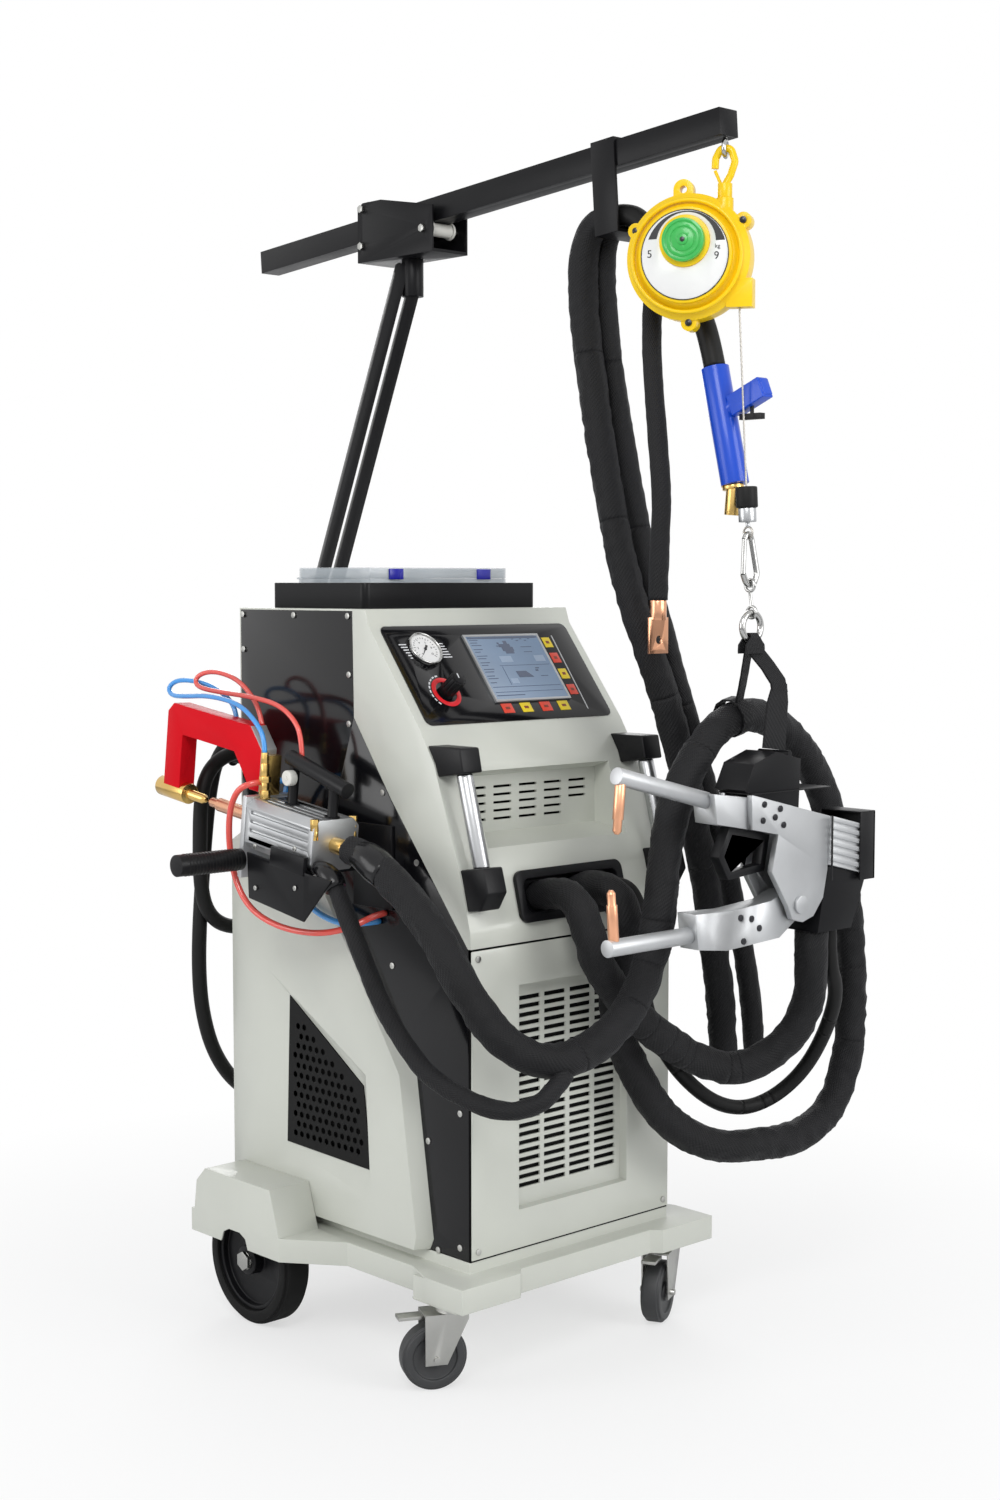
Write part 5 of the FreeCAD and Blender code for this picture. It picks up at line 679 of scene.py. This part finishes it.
def dress_mast():
    for node, material, edge, segments in (
            ("mast_socket", black_paint, 0.0012, 2), ("mast_frame", black_paint, 0.0014, 2),
            ("boom_bracket", black_paint, 0.0007, 2)):
        dress(node, material, edge=edge, segments=segments)
    dress("bracket_rollers", steel, [(nylon, lambda f: 107 < f.p.x < 153)], edge=0.0006)
    dress("boom_beam", black_paint, [(chrome, lambda f: f.size.y < 100)], edge=0.0016)
    dress("cable_hanger", black_paint, edge=0.0009)


def dress_balancer():
    for node, material, edge, segments in (
            ("balancer_housing", yellow_paint, 0.0016, 3), ("balancer_hook", yellow_paint, 0.0006, 2),
            ("balancer_dial_plate", white_paint, 0.0003, 2),
            ("balancer_tension_knob", green_plastic, 0.0009, 2), ("carabiner", chrome, 0, 2)):
        dress(node, material, edge=edge, segments=segments)
    dress("pull_gun_body", blue_paint, [(brass, lambda f: f.p.z < 1349.5)], edge=0.0022, segments=3)
    dress("pull_gun_trigger", black_plastic, edge=0.0012)
    return dress("earth_lug", copper, edge=0.0009)


def dress_guns():
    dress("xgun_frame", blasted, [(dark_steel, lambda f: f.size.x < 14 and f.size.y < 6),
        (black_plastic, lambda f: f.size.y < 46 and 50 < f.low.x < 62 and f.high.z < 842)], edge=0.0009)
    for node, material, edge, segments in (
            ("xgun_cylinder", blasted, 0.0005, 2), ("xgun_cover", black_paint, 0.0022, 3),
            ("xgun_upper_electrode", copper, 0.0005, 2), ("xgun_lower_electrode", copper, 0.0005, 2)):
        dress(node, material, edge=edge, segments=segments)
    dress("xgun_jaw", blasted, [(dark_steel, lambda f: f.size.x < 14 and f.size.y < 6)], edge=0.0009)
    dress("gun_cradle", black_paint, edge=0.0012)
    dress("cgun_cylinder", blasted, [(black_paint, lambda f: f.size.y < 30)], edge=0.0009)
    dress("cgun_arm", red_paint, [(blasted, lambda f: f.p.y < 205)], edge=0.0026, segments=3)
    for node, material, edge, segments in (
            ("cgun_brass_parts", brass, 0.0008, 2), ("cgun_handles", black_plastic, 0.0016, 3),
            ("cgun_ram", copper, 0.0006, 2)):
        dress(node, material, edge=edge, segments=segments)


# Detail pieces


def settle(piece, name, material, body, turn=None, edge=0.0, angle=32, segments=2):
    """Gives a new piece its name, finish, place and body once its shape is made."""
    only(piece)
    bpy.ops.object.transform_apply(location=True, rotation=True, scale=True)
    piece.name = name
    piece.data.materials.clear()
    piece.data.materials.append(material)
    for face in piece.data.polygons:
        face.material_index = 0
    soften(piece, edge, angle, segments)
    if turn is not None:
        piece.data.transform(turn)
    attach(piece, body)
    return piece


def placed(place, axis=None):
    """The piece just added, turned to an axis and moved to a place in metres within its own mesh."""
    piece = bpy.context.object
    if axis is not None:
        piece.rotation_euler = Vector(axis).to_track_quat("Z", "Y").to_euler()
    piece.location = place
    bpy.ops.object.transform_apply(location=True, rotation=True, scale=True)
    return piece


def block(low, high):
    """A block between two corners given in millimetres."""
    bpy.ops.object.select_all(action="DESELECT")
    bpy.ops.mesh.primitive_cube_add(size=1)
    bpy.context.object.scale = [abs(b - a) / 1000 for a, b in zip(low, high)]
    return placed([(a + b) / 2000 for a, b in zip(low, high)])


def bar(start, end, radius, sides=32, top_radius=None):
    """A round bar, or a cone, between two places in millimetres."""
    start, end = Vector(start) / 1000, Vector(end) / 1000
    bpy.ops.object.select_all(action="DESELECT")
    bpy.ops.mesh.primitive_cone_add(vertices=sides, radius1=radius / 1000,
        radius2=(radius if top_radius is None else top_radius) / 1000, depth=(end - start).length)
    return placed((start + end) / 2, end - start)


def hoop(centre, axis, radius, wire, sides=40, around=12):
    """A round ring about an axis, in millimetres."""
    bpy.ops.object.select_all(action="DESELECT")
    bpy.ops.mesh.primitive_torus_add(major_radius=radius / 1000, minor_radius=wire / 1000, major_segments=sides,
        minor_segments=around)
    return placed(Vector(centre) / 1000, axis)


def joined(pieces):
    bpy.ops.object.select_all(action="DESELECT")
    for piece in pieces:
        piece.select_set(True)
    bpy.context.view_layer.objects.active = pieces[0]
    bpy.ops.object.join()
    return pieces[0]


def plate_of(outline, low, high):
    """A flat plate with the given outline between two heights, in millimetres."""
    mesh = bpy.data.meshes.new("plate")
    mesh.from_pydata([(x / 1000, y / 1000, low / 1000) for x, y in outline], [], [range(len(outline))])
    piece = new_object("plate", mesh)
    open_up(piece)
    bpy.ops.mesh.extrude_region_move(TRANSFORM_OT_translate={"value": (0, 0, (high - low) / 1000)})
    bpy.ops.mesh.select_all(action="SELECT")
    bpy.ops.mesh.normals_make_consistent(inside=False)
    bpy.ops.object.mode_set(mode="OBJECT")
    return piece


def figure(text, place, size):
    """Raised figures at a place on a face, in millimetres."""
    bpy.ops.object.select_all(action="DESELECT")
    bpy.ops.object.text_add()
    letters = bpy.context.object.data
    letters.body = text
    letters.size = size / 1000
    letters.extrude = 0.0001
    letters.align_x = letters.align_y = "CENTER"
    bpy.ops.object.convert(target="MESH")
    return placed(Vector(place) / 1000)


def about(centre, degrees, piece):
    """The piece turned in the console's plane and moved to a centre there, in millimetres."""
    piece.data.transform(Matrix.Translation((centre[0] / 1000, centre[1] / 1000, 0)) @
        Matrix.Rotation(radians(degrees), 4, "Z"))
    return piece


def detail_console():
    def put(piece, name, material, edge=0.0, body="machine"):
        settle(piece, name, material, body, console_turn, edge)

    def rows(name, spots, low, high, material):
        made = [block((x0, -s1, low), (x1, -s0, high)) for x0, s0, x1, s1 in spots]
        put(joined(made), name, material)

    lines = []
    for k in range(6):
        s = 38 + 5.2 * k
        lines += [(-179 + 2.2 * k, s, -163.5, s + 1.8), (-100.5, s, -88.5 + 1.2 * k, s + 1.8)]
    rows("gauge_side_lines", lines, 1.9, 2.3, white_ink)
    face = 4.2  # the height of the screen's glass over the console
    columns = [(-32, s, -32 + width, s + 1.3) for s, width in
        ((35, 18), (40, 15), (45, 21), (53, 19), (58, 12), (66, 22), (71, 17), (79, 20), (84, 14), (92, 22),
        (97, 19), (105, 16), (110, 21), (118, 13), (143, 60))]
    columns += [(60 + 9 * k, 34 + 3 * (k % 2), 65 + 9 * k, 35.2 + 3 * (k % 2)) for k in range(5)]
    columns += [(6, 86, 116, 86.7), (10, 88, 10.8, 124), (-32, 127, 116, 127.7), (-32, 137, 116, 137.6),
        (72, 50, 96, 51), (74, 60, 92, 61), (78, 96, 84, 99), (80, 92, 88, 94), (84, 108, 100, 109)]
    rows("screen_marks", columns, face - 0.2, face + 0.06, screen_ink)
    rows("screen_figure", [(26, 44, 50, 50), (30, 50, 54, 58), (34, 58, 52, 63), (20, 47, 26, 48.5),
        (38, 38, 46, 44), (24, 41, 28, 44)], face - 0.2, face + 0.08, screen_ink)
    rows("screen_heading", [(-34, 29.5, 118, 33)], face - 0.2, face + 0.05, screen_ink)
    panel = plate_of([(34, -98), (56, -98), (68, -110), (36, -110)], face - 0.2, face + 0.1)
    put(panel, "screen_panel_shape", screen_ink)
    rows("screen_pale_fields", [(14, 68, 40, 80), (90, 68, 112, 80), (14, 112, 30, 122)], face - 0.2,
        face + 0.03, screen_pale)
    rows("key_signs", [(135.5, s - 2.6, 142.5, s + 2.6) for s in (41.8, 73.1, 105.2, 136.7)] +
        [(x - 4.5, 164.6, x + 4.5, 169.2) for x in (-22, 18.5, 61.7, 101.5)], 2.7, 3.0, sign_brown)
    stripe = plate_of([(155.2, -28), (157.6, -28), (152.8, -176), (150.6, -176)], 1.9, 2.3)
    put(stripe, "console_stripe", silver_ink)
    knob = (-131, -131)
    dashes = [about(knob, 100 + 15 * k, block((29.5, -2.6, 1.9), (32, 2.6, 2.3))) for k in range(9)]
    put(joined(dashes), "regulator_dashes", white_ink)
    cap = bar((*knob, 38.2), (*knob, 39.6), 9.5)
    put(cap, "regulator_cap", black_plastic, 0.0005, "regulator")
    pointer = block((-132, -131, 39.4), (-130, -122.5, 39.9))
    put(pointer, "regulator_pointer", white_ink, 0.0002, "regulator")
    gauge = (-132, -50)
    ticks = []
    for k in range(21):
        tick = block((19.5 if k % 4 else 17.5, -0.35, 4.4), (22.5, 0.35, 4.75))
        ticks.append(about(gauge, 225 - 13.5 * k, tick))
    for k, text in enumerate(("0", "2", "4", "6", "8", "10")):
        angle = radians(225 - 54 * k)
        ticks.append(figure(text, (-132 + 13.6 * cos(angle), -50 + 13.6 * sin(angle), 4.6), 5.5))
    put(joined(ticks), "gauge_scale", black_ink)
    needle = plate_of([(-9, 2.2), (-9, -2.2), (0, -1.2), (17, 0), (0, 1.2)], 5.0, 5.4)
    hub = bar((*gauge, 4.6), (*gauge, 6.2), 2.6)
    put(joined([about(gauge, 228, needle), hub]), "gauge_needle", black_ink, 0.0002)
    ring = hoop((*gauge, 7.0), (0, 0, 1), 28.6, 1.5)
    put(ring, "gauge_bezel_bead", chrome)


def detail_balancer():
    turn = (Matrix.Translation((0.103, -0.401, 1.684)) @ Matrix.Rotation(radians(-60), 4, "Z") @
        Matrix.Rotation(radians(90), 4, "X"))

    def put(piece, name, material, edge=0.0, body="balancer"):
        settle(piece, name, material, body, turn, edge)

    def arc(cx, cy, radius, start, end, steps):
        return [(cx + radius * cos(start + (end - start) * k / steps),
            cy + radius * sin(start + (end - start) * k / steps)) for k in range(steps + 1)]

    outer = arc(2, 3.3, 60.5, atan2(21.2, -57.1), atan2(15.8, 58.4), 40)
    inner = arc(2, 17, 45, atan2(2, 45), atan2(7.5, -44.4), 40)
    scale = plate_of(outer + inner, 36.4, 36.9)
    put(scale, "balancer_scale_arc", black_ink)
    figures = [figure("5", (-53, 2.5, 36.7), 16), figure("9", (48, -3.5, 36.7), 16),
        figure("kg", (49.5, 10.5, 36.7), 9)]
    put(joined(figures), "balancer_figures", black_ink)
    rim = hoop((0, 0, 36.2), (0, 0, 1), 65.6, 0.8, sides=64)
    put(rim, "balancer_dial_edge", black_ink)
    centre = bar((0, 20, 52.3), (0, 20, 54.2), 8)
    put(centre, "balancer_tension_socket", green_plastic, 0.0006, "tension")
    dot = bar((0, 20, 53.8), (0, 20, 54.4), 4.2, sides=6)
    put(dot, "balancer_tension_hex", dark_steel, 0.0002, "tension")
    bolts = []
    for x, y in ((-80.5, 42), (82, 51), (1, -96.3)):
        bolts += [bar((x, y, 9), (x, y, 12.2), 5.2, sides=24), bar((x, y, 12), (x, y, 13.4), 3.4, sides=6)]
    put(joined(bolts), "balancer_lug_bolts", dark_steel, 0.0005)
    bead = hoop((0, 0, 23.5), (0, 0, 1), 82, 3.2, sides=72)
    put(bead, "balancer_face_bead", yellow_paint)


def strap(name, rungs, depth, body, closed=False, bend=None):
    """A webbing strap through its rungs: each a middle, a direction across and a half width, in millimetres."""
    count = 8
    stations = []
    last = len(rungs) if closed else len(rungs) - 1
    for k in range(last):
        (p, a, w), (q, b, u) = rungs[k], rungs[(k + 1) % len(rungs)]
        for i in range(count):
            share = i / count
            stations.append((Vector(p).lerp(Vector(q), share),
                Vector(a).normalized().lerp(Vector(b).normalized(), share).normalized(), w + (u - w) * share))
    if not closed:
        p, a, w = rungs[-1]
        stations.append((Vector(p), Vector(a).normalized(), w))
    total = len(stations)
    ring = [(-1, -0.25), (-0.97, -0.5), (0, -0.5), (0.97, -0.5), (1, -0.25), (1, 0.25), (0.97, 0.5), (0, 0.5),
        (-0.97, 0.5), (-1, 0.25)]
    points, faces, along = [], [], [0.0]
    for k, (middle, across, width) in enumerate(stations):
        before = stations[(k - 1) % total][0] if closed or k else middle
        after = stations[(k + 1) % total][0] if closed or k < total - 1 else middle
        out = (after - before).cross(across).normalized()
        ripple = 0.35 * noise.noise(Vector((k * 0.35, width, depth)))
        for u, v in ring:
            points.append((middle + across * width * u + out * (depth * v + ripple)) / 1000)
        if k:
            along.append(along[-1] + (middle - stations[k - 1][0]).length / 1000)
    size = len(ring)
    spans = total if closed else total - 1
    for k in range(spans):
        for j in range(size):
            a, b = k * size + j, k * size + (j + 1) % size
            c, d = (a + size) % len(points), (b + size) % len(points)
            faces.append((a, b, d, c))
    if not closed:
        faces += [tuple(reversed(range(size))), tuple(range(spans * size, (spans + 1) * size))]
    mesh = bpy.data.meshes.new(name)
    mesh.from_pydata(points, [], faces)
    cloth = mesh.uv_layers.new(name="cloth")
    for k, polygon in enumerate(mesh.polygons):
        for loop in polygon.loop_indices:
            vertex = mesh.loops[loop].vertex_index
            row, spot = divmod(vertex, size)
            cloth.data[loop].uv = (ring[spot][0] * stations[row][2] / 1000, along[row])
    mesh.materials.append(webbing)
    piece = new_object(name, mesh)
    open_up(piece)
    bpy.ops.mesh.normals_make_consistent(inside=False)
    bpy.ops.object.mode_set(mode="OBJECT")
    bpy.ops.object.shade_smooth_by_angle(angle=radians(40))
    if bend:
        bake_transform(piece)
    else:
        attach(piece, body)
    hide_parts("sling")
    return piece


def hang_sling():
    x, y = 150, -488
    strap("sling_gun_strap", [((205, -497, 1046), (1, 0, 0.1), 17), ((200, -498, 1020), (1, 0, -0.02), 24),
        ((190, -500, 949.6), (1, 0, -0.12), 26)], 4, "rope_end",
        bend=("gun", (0.2, -0.498, 1.03), (0.19, -0.5, 0.955)))
    strap("sling_front_strap", [((206, -497.6, 1034), (1, 0, 0.06), 17.5),
        ((201, -497.4, 1052), (1, 0, 0.22), 16.5), ((182, -493, 1076), (1, 0, 0.45), 14),
        ((156, -489, 1101), (1, 0, 0.5), 14)], 4, "rope_end")
    strap("sling_hose_strap", [((197, -425, 1020), (1, 0.2, 0.3), 12), ((170, -458, 1062), (1, 0.2, 0.3), 12),
        ((148, -484, 1101), (1, 0.2, 0.3), 12)], 3, "rope_end")
    strap("sling_fold", [((x, y - 7, 1095), (1, 0, 0), 22), ((x, y - 7.4, 1108), (1, 0, 0), 21),
        ((x, y - 7, 1120), (1, 0, 0), 10), ((x, y - 3.5, 1124.5), (1, 0, 0), 8),
        ((x, y + 3.5, 1124.5), (1, 0, 0), 8), ((x, y + 7, 1120), (1, 0, 0), 10),
        ((x, y + 7.4, 1108), (1, 0, 0), 21), ((x, y + 7, 1095), (1, 0, 0), 22)], 3, "rope_end")
    axis = Vector((1, 0.06, 0.2)).normalized()
    side = axis.orthogonal().normalized()
    up = axis.cross(side)
    rungs = []
    for k in range(12):
        turn = pi * k / 6
        rungs.append((Vector((204, -406.5, 994)) + (side * cos(turn) + up * sin(turn)) * 29.5, axis, 12))
    strap("sling_hose_loop", rungs, 3, "rope_end", closed=True)
    stitches = [block((142, -497.2, z), (158, -496.1, z + 1.2)) for z in (1096, 1103)]
    settle(joined(stitches), "sling_stitches", black_plastic, "rope_end", edge=0.0003)


def strand_width(along, turn):
    """The half width of each of the rope's strands, in metres."""
    return 0.0009


def hang_rope():
    top, ring = Vector((141, -467, 1604)), Vector((150, -488, 1135))
    run = ring - top

    def on_rope(share):
        return top + run * share

    line = [on_rope(-0.04 + 0.55 * k / 60) / 1000 for k in range(61)]
    frames = line_frames(line)
    strands = []
    for number in range(3):
        lay = []
        for k, spot in enumerate(line):
            turn = 2 * pi * (k / 5 + number / 3)
            lay.append(spot + (frames[k][0] * cos(turn) + frames[k][1] * sin(turn)) * 0.00075)
        strands.append(tube_between(f"rope_strand_{number + 1}", lay, line_frames(lay), 0, 60, strand_width,
            wire_steel, around=8))
    rope = joined(strands)
    rope.name = "balancer_rope"
    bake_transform(rope)
    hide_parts("wire_rope")
    tail = settle(bar(on_rope(0.505), on_rope(0.6), 1.6, sides=12), "rope_tail", wire_steel, "rope_end")
    bumper = settle(bar(on_rope(0.555), on_rope(0.622), 16.5), "rope_bumper", black_rubber, "rope_end",
        edge=0.0022, segments=3)
    ferrule = settle(bar(on_rope(0.622), on_rope(0.667), 13.5), "rope_ferrule", brushed, "rope_end",
        edge=0.0012, segments=3)
    eye_middle = on_rope(0.705) + Vector((0, 0, 2.1))
    splice = settle(bar(on_rope(0.667), eye_middle + Vector((0, 0, 8.5)), 3.2, sides=20), "rope_splice",
        brushed, "rope_end", edge=0.0005)
    eye = settle(hoop(eye_middle, (1, 0, 0), 8.5, 1.6), "rope_eye", wire_steel, "rope_end")
    for piece in (tail, bumper, ferrule, splice, eye):
        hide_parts("wire_rope")


def fittings(name, edge, parts):
    """Brass fittings of upright bars: each x, y, the heights of its two ends, its radius and its sides."""
    bars = [bar((x, y, foot), (x, y, head), radius, sides) for x, y, foot, head, radius, sides in parts]
    settle(joined(bars), name, brass, "machine", edge=edge)


def detail_cgun():
    lay_hose("upper_blue_tube", None, [(-318, 100, 935), (-318, 101, 957), (-318, 117, 980), (-316, 167, 1010),
        (-312, 254, 1020), (-307, 335, 1015), (-303, 376, 1015), (-298, 394, 1027), (-293, 376, 1040),
        (-290, 335, 1041), (-287, 290, 1035), (-285, 242, 1017), (-285, 219, 994), (-285, 217, 966)], 0.004,
        smooth_hose(0.004, 3.3), blue_tube)
    lay_hose("upper_coral_tube", None, [(-290, 42, 930), (-290, 43, 955), (-290, 54, 984), (-291, 95, 1010),
        (-294, 158, 1020), (-297, 225, 1024), (-299, 285, 1028), (-298, 312, 1034), (-294, 320, 1045),
        (-289, 303, 1055), (-284, 270, 1057), (-280, 222, 1046), (-278, 182, 1018), (-278, 161, 985),
        (-278, 157, 958)], 0.004, smooth_hose(0.004, 1.9), coral_tube)
    fittings("cylinder_inlet_fitting", 0.0007, [(-318, 100, 864, 878, 8.5, 6), (-318, 100, 877, 893, 6.5, 32),
        (-318, 100, 890, 900, 9.5, 6), (-318, 100, 899, 920, 7, 32), (-318, 100, 919, 937, 6, 6)])
    fittings("arm_fittings", 0.0006, [(-285, 217, 940, 956, 6, 6), (-285, 217, 955, 968, 5, 32),
        (-278, 157, 925, 945, 6, 6), (-278, 157, 944, 960, 5, 32)])
    fittings("cylinder_end_fittings", 0.0006, [(-338, -50, 846, 828, 7, 6), (-338, -50, 829, 814, 5.5, 32),
        (-262, -48, 846, 828, 7, 6), (-262, -48, 829, 812, 5.5, 32)])
    nut = bar((-322, 41, 901), (-308, 41, 901), 12)
    settle(nut, "handle_lock_nut", nylon, "machine", edge=0.0016, segments=3)
    pin = bar((-323.5, 41, 901), (-320, 41, 901), 3.6, sides=20)
    settle(pin, "handle_lock_pin", nylon, "machine", edge=0.0006)
    ribs = [hoop((x, 130.07, 769.34), (1, 0, 0), 16.4, 1.3, sides=28, around=8) for x in range(-450, -352, 6)]
    settle(joined(ribs), "side_grip_ribs", black_rubber, "machine")
    holes = ((80, 795), (80, 730), (-20, 740), (-20, 800))
    screws = [bar((-352.4, y, z), (-354.6, y, z), 4, sides=20) for y, z in holes]
    settle(joined(screws), "cradle_screws", steel, "machine", edge=0.0005)


def detail_xgun():
    casing = joined([block((354, -540, 738), (391, -537.6, 844.6)),
        block((354, -462.4, 738), (391, -460, 844.6)), block((386.5, -540, 738), (391.2, -460, 844.6)),
        block((354, -540, 843.2), (391, -460, 845.4))])
    settle(casing, "xgun_end_casing", black_plastic, "gun", edge=0.0008)
    edge_bar = joined([block((283.4, -539.2, 744), (287.4, -537.9, 844)),
        block((100, -532.8, 887.6), (288, -467.2, 889.4))])
    settle(edge_bar, "xgun_gasket", black_plastic, "gun", edge=0.0003)


def shade_behind_vents():
    """Dark sheets inside the louvres and the side grilles: painted shade for the dark inside seen through them.
    """
    low, high = (corner * 1000 for corner in map(Vector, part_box("lower_front_panel")))
    # A near-black sheet just behind the front louvres, as painted shade.
    front = block((low.x + 30, high.y + 3, low.z + 20), (high.x - 30, high.y + 5, high.z - 20))
    settle(front, "front_painted_shade_sheet", inner_paint_and_shade, "machine", edge=0.0004)
    low, high = (corner * 1000 for corner in map(Vector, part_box("side_grilles")))
    for sign, name in ((-1, "left"), (1, "right")):
        # A near-black sheet inside each side grille, as painted shade.
        face = high.x - 14
        sheet = block((sign * face, low.y - 4, low.z - 4), (sign * (face - 1.5), high.y + 4, high.z + 4))
        settle(sheet, name + "_painted_shade_sheet", inner_paint_and_shade, "machine", edge=0.0003)


def boot_sleeves():
    """The shrunk boots over the ends of the sleeves at the C-gun."""
    for name, points, wide, marks in (("main_sleeve_boot", main_sleeve_route, 25.6, 15),
            ("second_sleeve_boot", second_sleeve_route, 17.5, 9)):
        line = route_line(name, points)
        frames = line_frames(line)

        def swell(along, turn, wide=wide, marks=marks):
            share = min(1.0, along / (marks * 0.006))
            fold = 0.9 * noise.noise(Vector((cos(turn) * 1.4, sin(turn) * 1.4, along * 60)))
            return (wide * (0.62 + 0.42 * sin(share * 2.2)) + fold) / 1000

        piece = tube_between(name, line, frames, 0, marks, swell, shiny_rubber, around=28)
        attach(piece, "machine")
        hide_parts("cgun_hoses")


def detail_wheels():
    y, z = 185, 105
    for side_name, sign in (("left", -1), ("right", 1)):
        body = side_name + "_rear_wheel"
        cap = bar((sign * 296, y, z), (sign * 304, y, z), 15, sides=28)
        nut = bar((sign * 303, y, z), (sign * 309, y, z), 9, sides=6)
        settle(joined([cap, nut]), side_name + "_hub_cap", steel, body, edge=0.001)
        treads = [hoop((sign * x, y, z), (1, 0, 0), 103.7, 1.2, sides=96, around=6) for x in (262, 274, 286)]
        settle(joined(treads), side_name + "_tyre_treads", tyre_rubber, body)


def detail_pull_gun():
    """The grip block that stands off the stud puller's side, and its collar."""
    root, tip = Vector((165, -425, 1462)), Vector((165, -494, 1491))
    axis = (tip - root).normalized()
    across = Vector((1, 0, 0))
    up = axis.cross(across).normalized()
    grip = block((-12, -17, 12), (12, 15, 78))
    only(grip)
    bpy.ops.object.mode_set(mode="EDIT")
    bpy.ops.mesh.select_all(action="DESELECT")
    bpy.ops.mesh.select_mode(type="FACE")
    bpy.ops.object.mode_set(mode="OBJECT")
    for face in grip.data.polygons:
        face.select = face.normal.z > 0.9
    bpy.ops.object.mode_set(mode="EDIT")
    bpy.ops.mesh.inset(thickness=0.003)
    bpy.ops.mesh.extrude_region_move(TRANSFORM_OT_translate={"value": (0, 0, 0.003)})
    bpy.ops.object.mode_set(mode="OBJECT")
    turn = Matrix.Translation(root / 1000) @ Matrix(((across.x, up.x, axis.x, 0), (across.y, up.y, axis.y, 0),
        (across.z, up.z, axis.z, 0), (0, 0, 0, 1)))
    grip = settle(grip, "pull_gun_grip", blue_paint, "boom", turn, 0.005, segments=4)
    collar = bar((165, -436, 1349), (165, -437, 1341), 16.5, sides=28)
    settle(collar, "pull_gun_collar", brass, "boom", edge=0.0012)


def mains_plug():
    end = Vector(mains_route[-1])
    along = (end - Vector(mains_route[-2])).normalized()
    shell = bar(end, end + along * 92, 22, top_radius=26)
    lip = bar(end + along * 88, end + along * 95, 26)
    neck = bar(end - along * 32, end + along * 4, 14.5, top_radius=19)
    plug = settle(joined([shell, lip, neck]), "mains_plug", black_rubber, "machine", edge=0.0018, segments=3)
    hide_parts("mains_cable")
    side = along.cross(Vector((0, 1, 0))).normalized()
    other = along.cross(side)
    pins = []
    for k in range(4):
        turn = pi * k / 2
        foot = end + along * 93 + side * 13 * cos(turn) + other * 13 * sin(turn)
        pins.append(bar(foot, foot + along * 23, 4, sides=20))
    return [plug, settle(joined(pins), "mains_plug_pins", brass, "machine", edge=0.0008)]


set_camera()
set_studio()
set_floor()
dress_base()
dress_cabinet()
dress_mast()
lug = dress_balancer()
dress_guns()
shade_behind_vents()
detail_console()
detail_balancer()
detail_cgun()
detail_xgun()
detail_wheels()
detail_pull_gun()
plug = mains_plug()
hang_rope()
hang_sling()
lay_gun_hoses()
boot_sleeves()
lay_hanger_hoses()
lay_small_lines()
